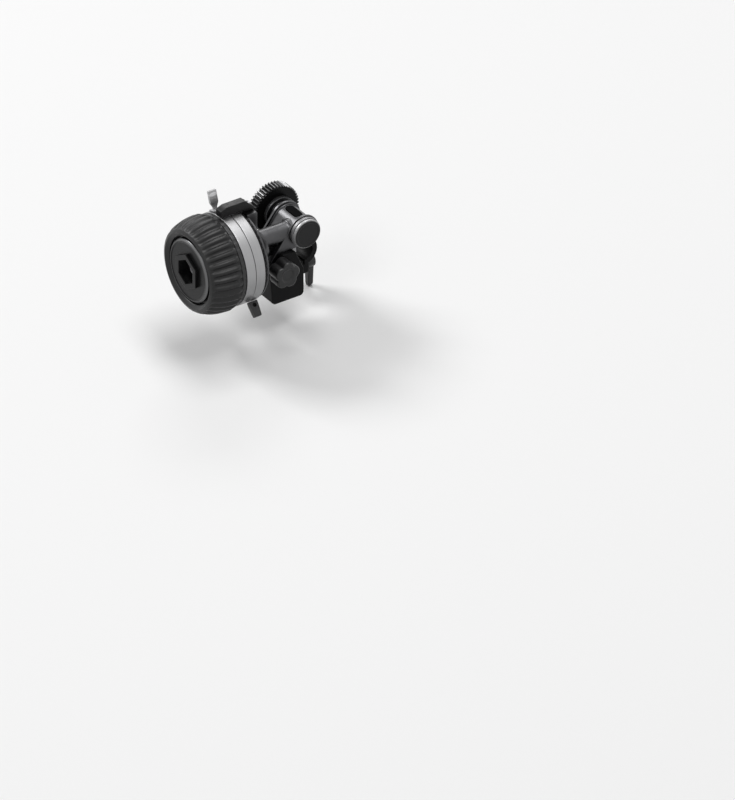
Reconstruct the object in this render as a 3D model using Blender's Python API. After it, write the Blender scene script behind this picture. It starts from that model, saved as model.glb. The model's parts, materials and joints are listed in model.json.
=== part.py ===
"""Lens follow focus on a 15 mm rod: handwheel with two hard stops, gear train and drive gear.

Blender 4.5, metres, +Z up. The origin is the middle of the rod bore. The rod runs along Y, the
handwheel turns about X and the drive gear about Y, towards a lens beside it.
"""
import math

import bmesh
import bpy
from mathutils import Matrix, Vector

MM = 0.001

# Where the three axes lie
ROD_DIAMETER = 15.0 * MM
AXIS_RISE = 32.0 * MM
ROD_REACH = 17.2 * MM
CLAMP_SETBACK = 28.0 * MM

# Gaps: seated pieces, running surfaces, one overrun for every cut
SEAT = 0.3 * MM
RUN = 0.05 * MM
OVERRUN = 1.0 * MM
WELD = 0.0005 * MM

# Smoothness of round pieces
LARGE_STEPS = 42
MEDIUM_STEPS = 24
SMALL_STEPS = 16
CORNER_STEPS = 4
FLANK_SHARES = (0.0, 0.5, 1.0)
PLAIN_FLANK_SHARES = (0.0, 1.0)

# Gear train: ring gear and pinion, mitre gears, drive gear
TRAIN_MODULE = 0.5 * MM
RING_TEETH = 36
PINION_TEETH = 18
MITRE_TEETH = 20
MITRE_FACE = 2.0 * MM
MITRE_HUB_LENGTH = 3.2 * MM
DRIVE_MODULE = 0.8 * MM
DRIVE_TEETH = 46
DRIVE_WIDTH = 8.7 * MM
PRESSURE_ANGLE = math.radians(20)
ADDENDUM_SHARE = 1.0
DEDENDUM_SHARE = 1.25
RING_ADDENDUM_SHARE = 0.8
RING_DEDENDUM_SHARE = 1.3
MITRE_ADDENDUM_SHARE = 0.75
BACKLASH = 0.05 * MM
DRIVE_LIFT = (RING_TEETH - PINION_TEETH) * TRAIN_MODULE / 2

# Handwheel
GRIP_PROUD = 1.3 * MM
GRIP_DEPTH = 24.6 * MM
LIP_GAP = 1.4 * MM
GRIP_LIP_EDGE = 2.2 * MM
GRIP_LIP_DEPTH = 4.6 * MM
GRIP_RIBS = 36
GRIP_GROOVE = 1.1 * MM
GRIP_CREST_SHARES = (-0.27, 0.27, 0.38, 0.62)
# station from the rear edge to the front, radius, groove depth
GRIP_OUTER_SHARES = (
    (0.0, 0.965, 1.0),
    (0.18, 1.0, 1.0),
    (0.55, 0.972, 1.0),
    (0.84, 0.908, 0.9),
    (0.95, 0.86, 0.0),
    (1.0, 0.79, 0.0),
)
STOP_RING_WALL = 5.5 * MM
SLEEVE_WALL = 3.0 * MM
SLEEVE_REACH = 15.0 * MM
WEB_WALL = 3.0 * MM
CORE_HUB_RADIUS = 9.0 * MM
CORE_HUB_REACH = 4.0 * MM
CORE_BOSS_RADIUS = 15.0 * MM
CORE_BOSS_WALL = 3.0 * MM
BAND_WIDTH = 3.0 * MM
BAND_INSET = 0.5 * MM
BAND_TOOTH = 0.7 * MM
BAND_TEETH = 42
BAND_CREST_SHARES = (-0.2, 0.2, 0.3, 0.7)
STOP_RING_RADIUS = 35.0 * MM
STOP_RING_WIDTH = 7.5 * MM
STOP_RING_CHAMFER = 0.5 * MM
SLEEVE_LEDGE = 5.3 * MM
HUB_THICKNESS = 3.7 * MM
HUB_PLUG_RADIUS = 11.9 * MM
HUB_PLUG_LENGTH = 3.7 * MM
HUB_RIM = 1.1 * MM
COLLAR_ACROSS_FLATS = 25.0 * MM
COLLAR_HEIGHT = 2.6 * MM
SOCKET_ACROSS_FLATS = 17.5 * MM
SOCKET_FLOOR = 1.2 * MM
MAGNET_RADIUS = 5.5 * MM
MAGNET_THICKNESS = 1.4 * MM

# Handwheel shaft, its bolt and its friction washer
SHAFT_RADIUS = 4.0 * MM
SHAFT_FRONT = 14.0 * MM
BOLT_HEAD_RADIUS = 5.0 * MM
BOLT_HEAD_HEIGHT = 3.6 * MM
BOLT_RADIUS = 2.0 * MM
BOLT_LENGTH = 7.0 * MM
BOLT_KEY_ACROSS = 4.0 * MM
BOLT_KEY_DEPTH = 2.0 * MM
WASHER_RADIUS = 8.4 * MM
WASHER_THICKNESS = 1.2 * MM

# Stops
STOP_A_ANGLE = math.radians(-19)
STOP_B_ANGLE = math.radians(140)
FOOT_HEIGHT = 1.8 * MM
FOOT_LENGTH = 6.8 * MM
FOOT_WIDTH = 6.0 * MM
LEVER_WIDTH = 6.8 * MM
LEVER_THICKNESS = 2.2 * MM
LEVER_HEIGHT = 16.0 * MM
LEVER_NECK_RADIUS = 1.5 * MM
LEVER_NECK_HEIGHT = 2.4 * MM
LEVER_STEM_RADIUS = 1.2 * MM
LEVER_DIMPLE_DEPTH = 0.5 * MM
LEVER_DIMPLE_SHARES = (0.62, 0.84)
TAB_WIDTH = 7.0 * MM
TAB_THICKNESS = 4.4 * MM
TAB_HEIGHT = 12.0 * MM
TAB_TIP_SHARE = 0.8
TAB_SCREW_RADIUS = 1.3 * MM
TAB_SCREW_RISE = 3.4 * MM

# Bearing plate and its bush
PLATE_THICKNESS = 1.6 * MM
PLATE_SEAT_DEPTH = 7.9 * MM
PLATE_HUB_RADIUS = 9.0 * MM
BUSH_WALL = 2.0 * MM
PLATE_SCREWS = 3
PLATE_SCREW_INSET = 5.6 * MM
PLATE_SCREW_RADIUS = 1.25 * MM
PLATE_SCREW_HEAD = 2.3 * MM
PLATE_SCREW_LENGTH = 2.6 * MM
PLATE_SCREW_HEAD_HEIGHT = 1.4 * MM

# Gearbox casting
FLANGE_INSET = 1.5 * MM
FLANGE_THICKNESS = 2.2 * MM
FLANGE_CHAMFER = 0.6 * MM
FLANGE_LIP = 3.5 * MM
DRUM_RADIUS = 11.4 * MM
DRUM_REACH = 16.6 * MM
CROSS_REACH = 32.05 * MM
FLARE_SHARES = ((0.0, 1.0), (0.16, 0.78), (0.36, 0.5), (0.6, 0.23), (0.8, 0.08), (1.0, 0.0))
CAVITY_DEPTH = 7.6 * MM
BOSS_RADIUS = 7.2 * MM
HEAD_RADIUS = 10.4 * MM
RIM_RADIUS = 12.4 * MM
RIM_THICKNESS = 2.0 * MM
HEAD_FRONT = 7.4 * MM
HEAD_BACK = 17.3 * MM
TAIL_SLOPE = math.radians(53.6)
HOOK_DROP = 19.3 * MM
HOOK_STRIP = 3.6 * MM
HOOK_BACK = 8.0 * MM
RIB_DROP = 21.0 * MM
RIB_HALF_THICKNESS = 2.2 * MM
RIM_BAND = 2.0 * MM
FOOT_TURN = math.radians(105)
FOOT_SHARE = 0.6
SEAT_DROP = 7.2 * MM
SPIGOT_RADIUS = 8.6 * MM
LUG_HALF_WIDTH = 8.0 * MM
LUG_LENGTH = 7.2 * MM
LUG_INSET = 0.6 * MM
LUG_CHAMFER = 1.2 * MM
INLAY_LENGTH = 16.0 * MM
INLAY_WIDTH = 6.6 * MM
INLAY_HEIGHT = 0.8 * MM
INLAY_MIDDLE = 4.9 * MM

# Index pointer
POINTER_WIDTH = 6.4 * MM
POINTER_RISE = 8.6 * MM
POINTER_FRONT = 1.4 * MM
POINTER_LENGTH = 20.8 * MM
POINTER_SLOPE_LENGTH = 8.0 * MM
POINTER_CLEARANCE = 1.3 * MM
POINTER_NOSE = 4.8 * MM
POINTER_NOSE_DROP = 2.0 * MM
POINTER_HEEL = 1.6 * MM
POINTER_SCREW_RADIUS = 1.5 * MM
POINTER_SCREW_HEAD = 2.5 * MM
POINTER_SCREW_SINK = 4.6 * MM
POINTER_SCREW_DEPTH = 5.0 * MM
NOTCH_RADIUS = 1.1 * MM
NOTCH_DEPTH = 0.5 * MM

# Collar and cap on the viewer's side of the cross cylinder
COLLAR_RADIUS = 11.7 * MM
COLLAR_LENGTH = 2.9 * MM
CAP_RADIUS = 11.2 * MM
CAP_LENGTH = 2.4 * MM
CAP_FACE = 1.5 * MM
CAP_BEVEL = 0.9 * MM

# Layshaft and output shaft
LAYSHAFT_RADIUS = 2.5 * MM
LAYSHAFT_START = 20.2 * MM
PINION_WIDTH = 3.2 * MM
RING_GEAR_WIDTH = 4.6 * MM
RING_GEAR_RADIUS = 11.4 * MM
CUP_THICKNESS = 1.8 * MM
LAYSHAFT_BUSH_RADIUS = 5.6 * MM
LAYSHAFT_BUSH_LENGTH = 6.0 * MM
BUSH_RADIUS = 5.6 * MM
OUTPUT_BUSH_FRONT_LENGTH = 5.0 * MM
OUTPUT_BUSH_REAR_LENGTH = 6.6 * MM
OUTPUT_RADIUS = 2.5 * MM
GEAR_SEAT_RADIUS = 4.0 * MM
CIRCLIP_RADIUS = 4.6 * MM
CIRCLIP_THICKNESS = 0.8 * MM
COLLAR_STEP_RADIUS = 12.4 * MM
COLLAR_NECK_RADIUS = 9.4 * MM
GEAR_COLLAR_LENGTH = 8.7 * MM
GEAR_COLLAR_SHARES = ((0.0, 0.0), (0.38, 0.0), (0.42, 1.0), (0.78, 1.0), (0.82, 0.3), (1.0, 0.3))
GEAR_NUT_ACROSS = 9.0 * MM
GEAR_NUT_HEIGHT = 3.2 * MM
GEAR_WASHER_RADIUS = 7.0 * MM
GEAR_WASHER_THICKNESS = 1.0 * MM
GEAR_RECESS_RADIUS = 12.6 * MM
GEAR_RECESS_DEPTH = 2.4 * MM

# Base block and the slide
BLOCK_REACH = 30.6 * MM
BLOCK_TOP_LENGTH = 21.5 * MM
BLOCK_SHOULDER = 7.3 * MM
BLOCK_SHOULDER_DROP = 16.4 * MM
BLOCK_HEIGHT = 38.8 * MM
BLOCK_TAPER = 1.6 * MM
BLOCK_CORNER = 3.4 * MM
BLOCK_FRONT = 10.6 * MM
BLOCK_DEPTH = 25.2 * MM
BLOCK_EDGE = 0.8 * MM
BLOCK_SCREW_RADIUS = 1.5 * MM
BLOCK_SCREW_HEAD = 2.75 * MM
BLOCK_SCREW_HEAD_HEIGHT = 3.0 * MM
BLOCK_SCREW_GRIP = 5.0 * MM
BLOCK_SCREW_SHARE = 0.72
BLOCK_SCREW_STATIONS = (-3.0 * MM, 5.0 * MM)
RAIL_DROP = 17.4 * MM
RAIL_MOUTH = 8.0 * MM
RAIL_WIDTH = 12.0 * MM
RAIL_DEPTH = 5.0 * MM
RAIL_FOOT = 3.2 * MM
RAIL_CLEARANCE = 0.15 * MM
RAIL_REACH = 33.9 * MM
RAIL_LENGTH = 39.0 * MM
RAIL_SCREW_RADIUS = 1.5 * MM
RAIL_SCREW_HEAD = 2.75 * MM
RAIL_SCREW_HEAD_HEIGHT = 3.0 * MM
RAIL_SCREW_SHARES = (0.3, 0.86)
PAD_RADIUS = 3.2 * MM
PAD_THICKNESS = 2.4 * MM
PAD_GAP = 0.4 * MM

# Lock knob
KNOB_REACH = 23.1 * MM
KNOB_RADIUS = 10.4 * MM
KNOB_VALLEY_SHARE = 0.74
KNOB_LOBES = 5
KNOB_LOBE_POINTS = 8
KNOB_TURN = math.radians(-82.7)
KNOB_DEPTH = 11.4 * MM
KNOB_STATION_SHARES = ((0.0, 0.92), (0.08, 1.0), (0.88, 1.0), (1.0, 0.86))
KNOB_DISH_RADIUS = 5.2 * MM
KNOB_DISH_DEPTH = 0.8 * MM
LOCK_SCREW_RADIUS = 2.5 * MM
LOCK_SCREW_GRIP = 7.0 * MM

# Rod clamp
CLAMP_LENGTH = 19.6 * MM
CLAMP_FRONT = 18.2 * MM
CLAMP_RADIUS = 11.6 * MM
ROD_CLEARANCE = 0.1 * MM
ARM_THICKNESS = 5.6 * MM
ARM_HALF_HEIGHT = 8.8 * MM
ARM_FILLET = 2.0 * MM
EAR_DROP = 21.0 * MM
EAR_HALF_WIDTH = 7.0 * MM
SLIT = 1.6 * MM
CLAMP_SCREW_RADIUS = 2.5 * MM
CLAMP_SCREW_DROP = 15.6 * MM
CLAMP_SCREW_HEAD = 4.2 * MM
CLAMP_SCREW_HEAD_HEIGHT = 3.4 * MM
LEVER_HUB_RADIUS = 5.4 * MM
LEVER_HUB_LENGTH = 6.4 * MM
LEVER_ARM_LENGTH = 21.0 * MM
LEVER_ARM_WIDTH = 7.0 * MM
LEVER_TIP_SHARE = 0.66

# Radii that follow from the stop rings'
SLEEVE_RADIUS = STOP_RING_RADIUS - STOP_RING_WALL
BAND_RADIUS = STOP_RING_RADIUS - BAND_INSET
GRIP_RADIUS = STOP_RING_RADIUS + GRIP_PROUD
HUB_RADIUS = SLEEVE_RADIUS - SLEEVE_LEDGE
GRIP_LIP_RADIUS = HUB_RADIUS + LIP_GAP
FLANGE_RADIUS = STOP_RING_RADIUS - FLANGE_INSET
FLARE_RADIUS = FLANGE_RADIUS - FLANGE_LIP
LUG_TOP = STOP_RING_RADIUS - LUG_INSET
POINTER_TOP = STOP_RING_RADIUS + POINTER_RISE
PLATE_RADIUS = FLANGE_RADIUS - PLATE_SEAT_DEPTH
PLATE_SCREW_CIRCLE = PLATE_RADIUS - PLATE_SCREW_INSET

# Places that follow from the sizes above, measured from the origin or along the handwheel's axis
WHEEL_Y = -CLAMP_SETBACK
GEAR_X = -ROD_REACH
GEAR_Z = AXIS_RISE + DRIVE_LIFT
REAR_BAND_START = 2 * (STOP_RING_WIDTH + SEAT) - RUN
FLANGE_START = REAR_BAND_START + PLATE_THICKNESS + SEAT
DRUM_END = FLANGE_START + DRUM_REACH
GEAR_REACH = DRUM_END + CROSS_REACH
WHEEL_X = -(GEAR_REACH + ROD_REACH)
GRIP_START = -(BAND_WIDTH + 2 * SEAT)
CORE_START = GRIP_START - GRIP_DEPTH + GRIP_LIP_DEPTH + 2 * SEAT
HUB_START = CORE_START - SEAT - HUB_THICKNESS


def material(name, colour, roughness, metallic):
    """A plain Principled material in the piece's own colour."""
    made = bpy.data.materials.new(name)
    made.use_nodes = True
    shader = made.node_tree.nodes["Principled BSDF"]
    shader.inputs["Base Color"].default_value = (*colour, 1.0)
    shader.inputs["Roughness"].default_value = roughness
    shader.inputs["Metallic"].default_value = metallic
    made.diffuse_color = (*colour, 1.0)
    return made


FINISHES = {
    "rubber": ((0.055, 0.055, 0.057), 0.75, 0.0),
    "silver": ((0.74, 0.74, 0.75), 0.32, 1.0),
    "casting": ((0.09, 0.09, 0.095), 0.38, 0.6),
    "black": ((0.02, 0.02, 0.022), 0.35, 0.3),
    "steel": ((0.55, 0.55, 0.56), 0.3, 1.0),
    "brass": ((0.7, 0.52, 0.25), 0.35, 1.0),
}


def axis_frame(name, place, along, up):
    """An empty on a joint's axis, whose local Z points along it and local X points up."""
    empty = bpy.data.objects.new(name, None)
    bpy.context.collection.objects.link(empty)
    z_axis = Vector(along)
    x_axis = Vector(up)
    y_axis = z_axis.cross(x_axis)
    turn = Matrix((x_axis, y_axis, z_axis)).transposed().to_4x4()
    empty.matrix_world = Matrix.Translation(place) @ turn
    return empty


def add(name, mesh_builder, finish, frame=None, sharp=math.radians(35)):
    """Turn a finished bmesh into a named object with its own material."""
    mesh = bpy.data.meshes.new(name)
    mesh_builder.to_mesh(mesh)
    mesh_builder.free()
    item = bpy.data.objects.new(name, mesh)
    bpy.context.collection.objects.link(item)
    if finish:
        mesh.materials.append(material(name, *FINISHES[finish]))
    mesh.shade_smooth()
    mesh.set_sharp_from_angle(angle=sharp)
    if frame:
        item.parent = frame
    return item


def tool(name, mesh_builder, frame=None):
    """A cutter or a lobe to be joined: never a piece of its own."""
    item = add(name, mesh_builder, None, frame)
    item.hide_render = True
    item.display_type = "WIRE"
    return item


def boolean(item, other, operation):
    change = item.modifiers.new(other.name, "BOOLEAN")
    change.operation = operation
    change.solver = "EXACT"
    change.object = other


def cut(item, *tools):
    for other in tools:
        boolean(item, other, "DIFFERENCE")


def join(item, *tools):
    for other in tools:
        boolean(item, other, "UNION")


def soften(item, width, segments=2, angle=math.radians(40)):
    """Round a piece's outer edges."""
    bevel = item.modifiers.new("edges", "BEVEL")
    bevel.width = width
    bevel.segments = segments
    bevel.limit_method = "ANGLE"
    bevel.angle_limit = angle
    bevel.use_clamp_overlap = True


def closed(builder):
    bmesh.ops.remove_doubles(builder, verts=builder.verts, dist=WELD)
    bmesh.ops.recalc_face_normals(builder, faces=builder.faces)
    return builder


def turned(profile, steps, hollow):
    """Spin an outline of (station, radius) points about local Z.

    A hollow outline is a closed loop clear of the axis, a solid one starts and ends on it.
    """
    builder = bmesh.new()
    corners = [builder.verts.new((radius, 0, station)) for station, radius in profile]
    sides = [builder.edges.new(pair) for pair in zip(corners, corners[1:])]
    if hollow:
        sides.append(builder.edges.new((corners[-1], corners[0])))
    bmesh.ops.spin(
        builder, geom=corners + sides, cent=(0, 0, 0), axis=(0, 0, 1), angle=math.tau, steps=steps
    )
    return closed(builder)


def rod_profile(start, end, radius):
    return [(start, 0), (start, radius), (end, radius), (end, 0)]


def tube_profile(start, end, inner, outer):
    return [(start, inner), (end, inner), (end, outer), (start, outer)]


def bore_radius(radius, steps):
    """A bore that clears a turning shaft at its flats, not only at its corners."""
    return (radius + RUN) / math.cos(math.pi / steps)


def prism(outline, low, high):
    """Extrude a flat outline of (x, y) points from one station to another."""
    builder = bmesh.new()
    face = builder.faces.new([builder.verts.new((x, y, low)) for x, y in outline])
    grown = bmesh.ops.extrude_face_region(builder, geom=[face])
    moved = [part for part in grown["geom"] if isinstance(part, bmesh.types.BMVert)]
    bmesh.ops.translate(builder, verts=moved, vec=(0, 0, high - low))
    return closed(builder)


def loft(rings, loop=False):
    """Bridge rings of points that all have the same count; ends are capped unless it loops."""
    builder = bmesh.new()
    rows = [[builder.verts.new(point) for point in ring] for ring in rings]
    pairs = list(zip(rows, rows[1:]))
    if loop:
        pairs.append((rows[-1], rows[0]))
    for first, second in pairs:
        for here in range(len(first)):
            after = (here + 1) % len(first)
            builder.faces.new((first[here], first[after], second[after], second[here]))
    if not loop:
        builder.faces.new(rows[0])
        builder.faces.new(rows[-1])
    return closed(builder)


def circle(radius, steps, centre=(0.0, 0.0), start=0.0):
    """Points of a circle, as (x, y)."""
    turns = [start + math.tau * step / steps for step in range(steps)]
    return [(centre[0] + radius * math.cos(t), centre[1] + radius * math.sin(t)) for t in turns]


def arc(centre, radius, start, end, count):
    turns = [start + (end - start) * step / count for step in range(count + 1)]
    return [(centre[0] + radius * math.cos(t), centre[1] + radius * math.sin(t)) for t in turns]


def hexagon(across_flats, start=0.0):
    return circle(across_flats / math.sqrt(3), 6, start=start)


def box_outline(x_low, x_high, y_low, y_high):
    return [(x_low, y_low), (x_high, y_low), (x_high, y_high), (x_low, y_high)]


def gear_outline(teeth, module, addendum, dedendum, thinning, shares=FLANK_SHARES):
    """Points of an involute gear as (radius, angle), with one tooth centred on angle zero."""
    pitch = teeth * module / 2
    base = pitch * math.cos(PRESSURE_ANGLE)
    tip = pitch + addendum
    root = pitch - dedendum
    rolled = math.tan(PRESSURE_ANGLE) - PRESSURE_ANGLE
    half_pitch_angle = math.pi / (2 * teeth) - thinning / (2 * pitch)
    low = max(root, base)
    points = []
    for tooth in range(teeth):
        middle = math.tau * tooth / teeth
        flank = []
        for share in shares:
            radius = low + (tip - low) * share
            lean = math.acos(min(1.0, base / radius))
            half = half_pitch_angle + rolled - (math.tan(lean) - lean)
            flank.append((radius, half))
        if root < base:
            flank[0] = (root, flank[0][1])
        points += [(radius, middle - half) for radius, half in flank]
        points += [(radius, middle + half) for radius, half in reversed(flank)]
    return points


def flat(points, turn=0.0):
    """(radius, angle) points as (x, y)."""
    return [(r * math.cos(a + turn), r * math.sin(a + turn)) for r, a in points]


def toothed_outline(teeth, crest, depth, shares):
    """A ring's outline with plain notches between flat crests."""
    outline = []
    for tooth in range(teeth):
        for share, radius in zip(shares, (crest, crest, crest - depth, crest - depth)):
            outline.append((radius, math.tau * (tooth + share) / teeth))
    return outline


def mitre_gear(name, frame, place, turn):
    """A straight mitre gear: the apex at its place's origin, the teeth facing -Z towards it."""
    pitch = MITRE_TEETH * TRAIN_MODULE / 2
    addendum = MITRE_ADDENDUM_SHARE * TRAIN_MODULE
    dedendum = DEDENDUM_SHARE * TRAIN_MODULE
    cone_length = pitch * math.sqrt(2)
    inner_share = 1 - MITRE_FACE / cone_length
    outline = gear_outline(
        MITRE_TEETH, TRAIN_MODULE, addendum, dedendum, BACKLASH, PLAIN_FLANK_SHARES
    )
    half = math.sqrt(0.5)

    def ring(share):
        points = []
        for radius, angle in outline:
            height = radius - pitch
            wide = (pitch + height * half) * share
            deep = (pitch - height * half) * share
            points.append((wide * math.cos(angle + turn), wide * math.sin(angle + turn), deep))
        return points

    teeth = loft([ring(inner_share), ring(1.0)])
    teeth.transform(place)
    gear = add(name, teeth, "brass", frame)
    hub_end = pitch + dedendum * half + MITRE_HUB_LENGTH
    middle = pitch * (1 + inner_share) / 2
    hub = turned(rod_profile(middle, hub_end, pitch - dedendum - SEAT), SMALL_STEPS, False)
    hub.transform(place)
    join(gear, tool(name + "_hub", hub, frame))
    bore = turned(rod_profile(0, hub_end + OVERRUN, LAYSHAFT_RADIUS + SEAT), SMALL_STEPS, False)
    bore.transform(place)
    cut(gear, tool(name + "_bore", bore, frame))
    return gear


def screw(name, frame, place, sizes, steps=SMALL_STEPS):
    """Steel screw with its head on station 0, pointing along local -Z of its place."""
    radius, length, head_radius, head_height = sizes
    profile = [
        (-length, 0),
        (-length, radius),
        (0, radius),
        (0, head_radius),
        (head_height, head_radius),
        (head_height, 0),
    ]
    body = turned(profile, steps, hollow=False)
    body.transform(place)
    return add(name, body, "steel", frame)


def look_along(direction, side):
    """A rotation whose Z points along one direction and X along another."""
    z_axis = Vector(direction)
    x_axis = Vector(side)
    return Matrix((x_axis, z_axis.cross(x_axis), z_axis)).transposed().to_4x4()


def make_grip(frame):
    """Moulded rubber grip: ribs along its length, a smooth rolled lip, a step over the core."""
    front = GRIP_START - GRIP_DEPTH
    turns = [
        (math.tau * (rib + share) / GRIP_RIBS, groove)
        for rib in range(GRIP_RIBS)
        for share, groove in zip(GRIP_CREST_SHARES, (0, 0, 1, 1))
    ]

    def ring(station, radius, groove):
        points = []
        for turn, low in turns:
            reach = radius - low * groove * GRIP_GROOVE
            points.append((reach * math.cos(turn), reach * math.sin(turn), station))
        return points

    rings = [
        ring(GRIP_START - share * GRIP_DEPTH, size * GRIP_RADIUS, groove)
        for share, size, groove in GRIP_OUTER_SHARES
    ]
    grip = add("grip_rubber", loft(rings), "rubber", frame)
    inner = SLEEVE_RADIUS + SEAT
    step = front + GRIP_LIP_DEPTH + SEAT
    edge = front + GRIP_LIP_EDGE
    spread = (GRIP_OUTER_SHARES[-1][1] * GRIP_RADIUS - SEAT - GRIP_LIP_RADIUS) / GRIP_LIP_EDGE
    hollow = turned(
        [
            (GRIP_START + OVERRUN, 0),
            (GRIP_START + OVERRUN, inner),
            (step, inner),
            (step, GRIP_LIP_RADIUS),
            (edge, GRIP_LIP_RADIUS),
            (front - OVERRUN, GRIP_LIP_RADIUS + spread * (GRIP_LIP_EDGE + OVERRUN)),
            (front - OVERRUN, 0),
        ],
        LARGE_STEPS,
        hollow=False,
    )
    cut(grip, tool("grip_hollow", hollow, frame))
    return grip


def make_core(frame):
    """Aluminium core: the sleeve that carries grip and stop rings, the web and the hub."""
    bore = SHAFT_RADIUS + SEAT
    counterbore = BOLT_HEAD_RADIUS + SEAT
    shoulder = -SHAFT_FRONT - 2 * SEAT
    plug = HUB_PLUG_RADIUS + SEAT
    plug_floor = HUB_START + HUB_THICKNESS + HUB_PLUG_LENGTH + SEAT
    profile = [
        (CORE_START, plug),
        (plug_floor, plug),
        (plug_floor, counterbore),
        (shoulder, counterbore),
        (shoulder, bore),
        (CORE_HUB_REACH, bore),
        (CORE_HUB_REACH, CORE_HUB_RADIUS),
        (plug_floor + CORE_BOSS_WALL, CORE_HUB_RADIUS),
        (plug_floor + CORE_BOSS_WALL, CORE_BOSS_RADIUS),
        (CORE_START + WEB_WALL, CORE_BOSS_RADIUS),
        (CORE_START + WEB_WALL, SLEEVE_RADIUS - SLEEVE_WALL),
        (SLEEVE_REACH, SLEEVE_RADIUS - SLEEVE_WALL),
        (SLEEVE_REACH, SLEEVE_RADIUS),
        (CORE_START, SLEEVE_RADIUS),
    ]
    return add("wheel_core", turned(profile, MEDIUM_STEPS, hollow=True), "black", frame)


def make_toothed_ring(name, frame, start, width, inner):
    outline = flat(toothed_outline(BAND_TEETH, BAND_RADIUS, BAND_TOOTH, BAND_CREST_SHARES))
    ring = add(name, prism(outline, start, start + width), "black", frame)
    hole = turned(rod_profile(start - OVERRUN, start + width + OVERRUN, inner), MEDIUM_STEPS, False)
    cut(ring, tool(name + "_bore", hole, frame))
    return ring


def make_stop_ring(name, frame, start):
    inner = bore_radius(SLEEVE_RADIUS, LARGE_STEPS)
    end = start + STOP_RING_WIDTH
    edge = STOP_RING_RADIUS - STOP_RING_CHAMFER
    profile = [
        (start, inner),
        (end, inner),
        (end, edge),
        (end - STOP_RING_CHAMFER, STOP_RING_RADIUS),
        (start + STOP_RING_CHAMFER, STOP_RING_RADIUS),
        (start, edge),
    ]
    return add(name, turned(profile, LARGE_STEPS, hollow=True), "silver", frame)


def make_hub(frame):
    """Hub disc with a rounded rim and a raised hexagonal socket for a whip or a crank."""
    back = HUB_START + HUB_THICKNESS
    end = back + HUB_PLUG_LENGTH
    profile = [
        (HUB_START, 0),
        (HUB_START, HUB_RADIUS - 2 * HUB_RIM),
        (HUB_START - HUB_RIM / 3, HUB_RADIUS - 3 * HUB_RIM / 2),
        (HUB_START - HUB_RIM / 3, HUB_RADIUS - HUB_RIM),
        (HUB_START + HUB_RIM / 2, HUB_RADIUS),
        (back, HUB_RADIUS),
        (back, HUB_PLUG_RADIUS),
        (end, HUB_PLUG_RADIUS),
        (end, 0),
    ]
    disc = add("hub_disc", turned(profile, LARGE_STEPS, hollow=False), "black", frame)
    top = HUB_START - COLLAR_HEIGHT
    raised = prism(hexagon(COLLAR_ACROSS_FLATS), top, HUB_START + HUB_RIM)
    join(disc, tool("hub_collar", raised, frame))
    opening = prism(hexagon(SOCKET_ACROSS_FLATS), top - OVERRUN, end - SOCKET_FLOOR)
    cut(disc, tool("hub_socket", opening, frame))
    floor = end - SOCKET_FLOOR - SEAT
    magnet = turned(rod_profile(floor - MAGNET_THICKNESS, floor, MAGNET_RADIUS), SMALL_STEPS, False)
    add("socket_magnet", magnet, "steel", frame)
    return disc


def make_hub_bolt(frame):
    """Bolt that holds the core on its shaft, under the hub disc."""
    seat = -SHAFT_FRONT - 3 * SEAT
    head = seat - BOLT_HEAD_HEIGHT
    profile = [
        (head, 0),
        (head, BOLT_HEAD_RADIUS),
        (seat, BOLT_HEAD_RADIUS),
        (seat, BOLT_RADIUS),
        (seat + BOLT_LENGTH, BOLT_RADIUS),
        (seat + BOLT_LENGTH, 0),
    ]
    bolt = add("hub_bolt", turned(profile, SMALL_STEPS, hollow=False), "steel", frame)
    key = prism(hexagon(BOLT_KEY_ACROSS), head - OVERRUN, head + BOLT_KEY_DEPTH)
    cut(bolt, tool("hub_bolt_key", key, frame))
    return bolt


def make_wheel_shaft(frame):
    """Shaft of the handwheel with the disc that carries the ring gear at its inner end."""
    thread = BOLT_RADIUS + SEAT
    cup = FLANGE_START + 2 * SEAT
    depth = BOLT_LENGTH + SEAT
    profile = [
        (-SHAFT_FRONT + depth, 0),
        (-SHAFT_FRONT + depth, thread),
        (-SHAFT_FRONT, thread),
        (-SHAFT_FRONT, SHAFT_RADIUS),
        (cup, SHAFT_RADIUS),
        (cup, RING_GEAR_RADIUS),
        (cup + CUP_THICKNESS, RING_GEAR_RADIUS),
        (cup + CUP_THICKNESS, 0),
    ]
    add("wheel_shaft", turned(profile, MEDIUM_STEPS, hollow=False), "steel", frame)
    washer_start = CORE_HUB_REACH + SEAT
    washer = tube_profile(
        washer_start, washer_start + WASHER_THICKNESS, SHAFT_RADIUS + SEAT, WASHER_RADIUS
    )
    add("friction_washer", turned(washer, SMALL_STEPS, hollow=True), "brass", frame)


def make_ring_gear(frame):
    """Internal gear on the wheel shaft: a space of it is centred on the layshaft, straight up."""
    start = FLANGE_START + 3 * SEAT + CUP_THICKNESS
    end = start + RING_GEAR_WIDTH
    blank = add(
        "ring_gear",
        turned(rod_profile(start, end, RING_GEAR_RADIUS), MEDIUM_STEPS, False),
        "steel",
        frame,
    )
    space = gear_outline(
        RING_TEETH,
        TRAIN_MODULE,
        RING_DEDENDUM_SHARE * TRAIN_MODULE,
        RING_ADDENDUM_SHARE * TRAIN_MODULE,
        -BACKLASH,
        PLAIN_FLANK_SHARES,
    )
    hole = prism(flat(space), start - OVERRUN, end + OVERRUN)
    cut(blank, tool("ring_gear_teeth", hole, frame))
    return start


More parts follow.
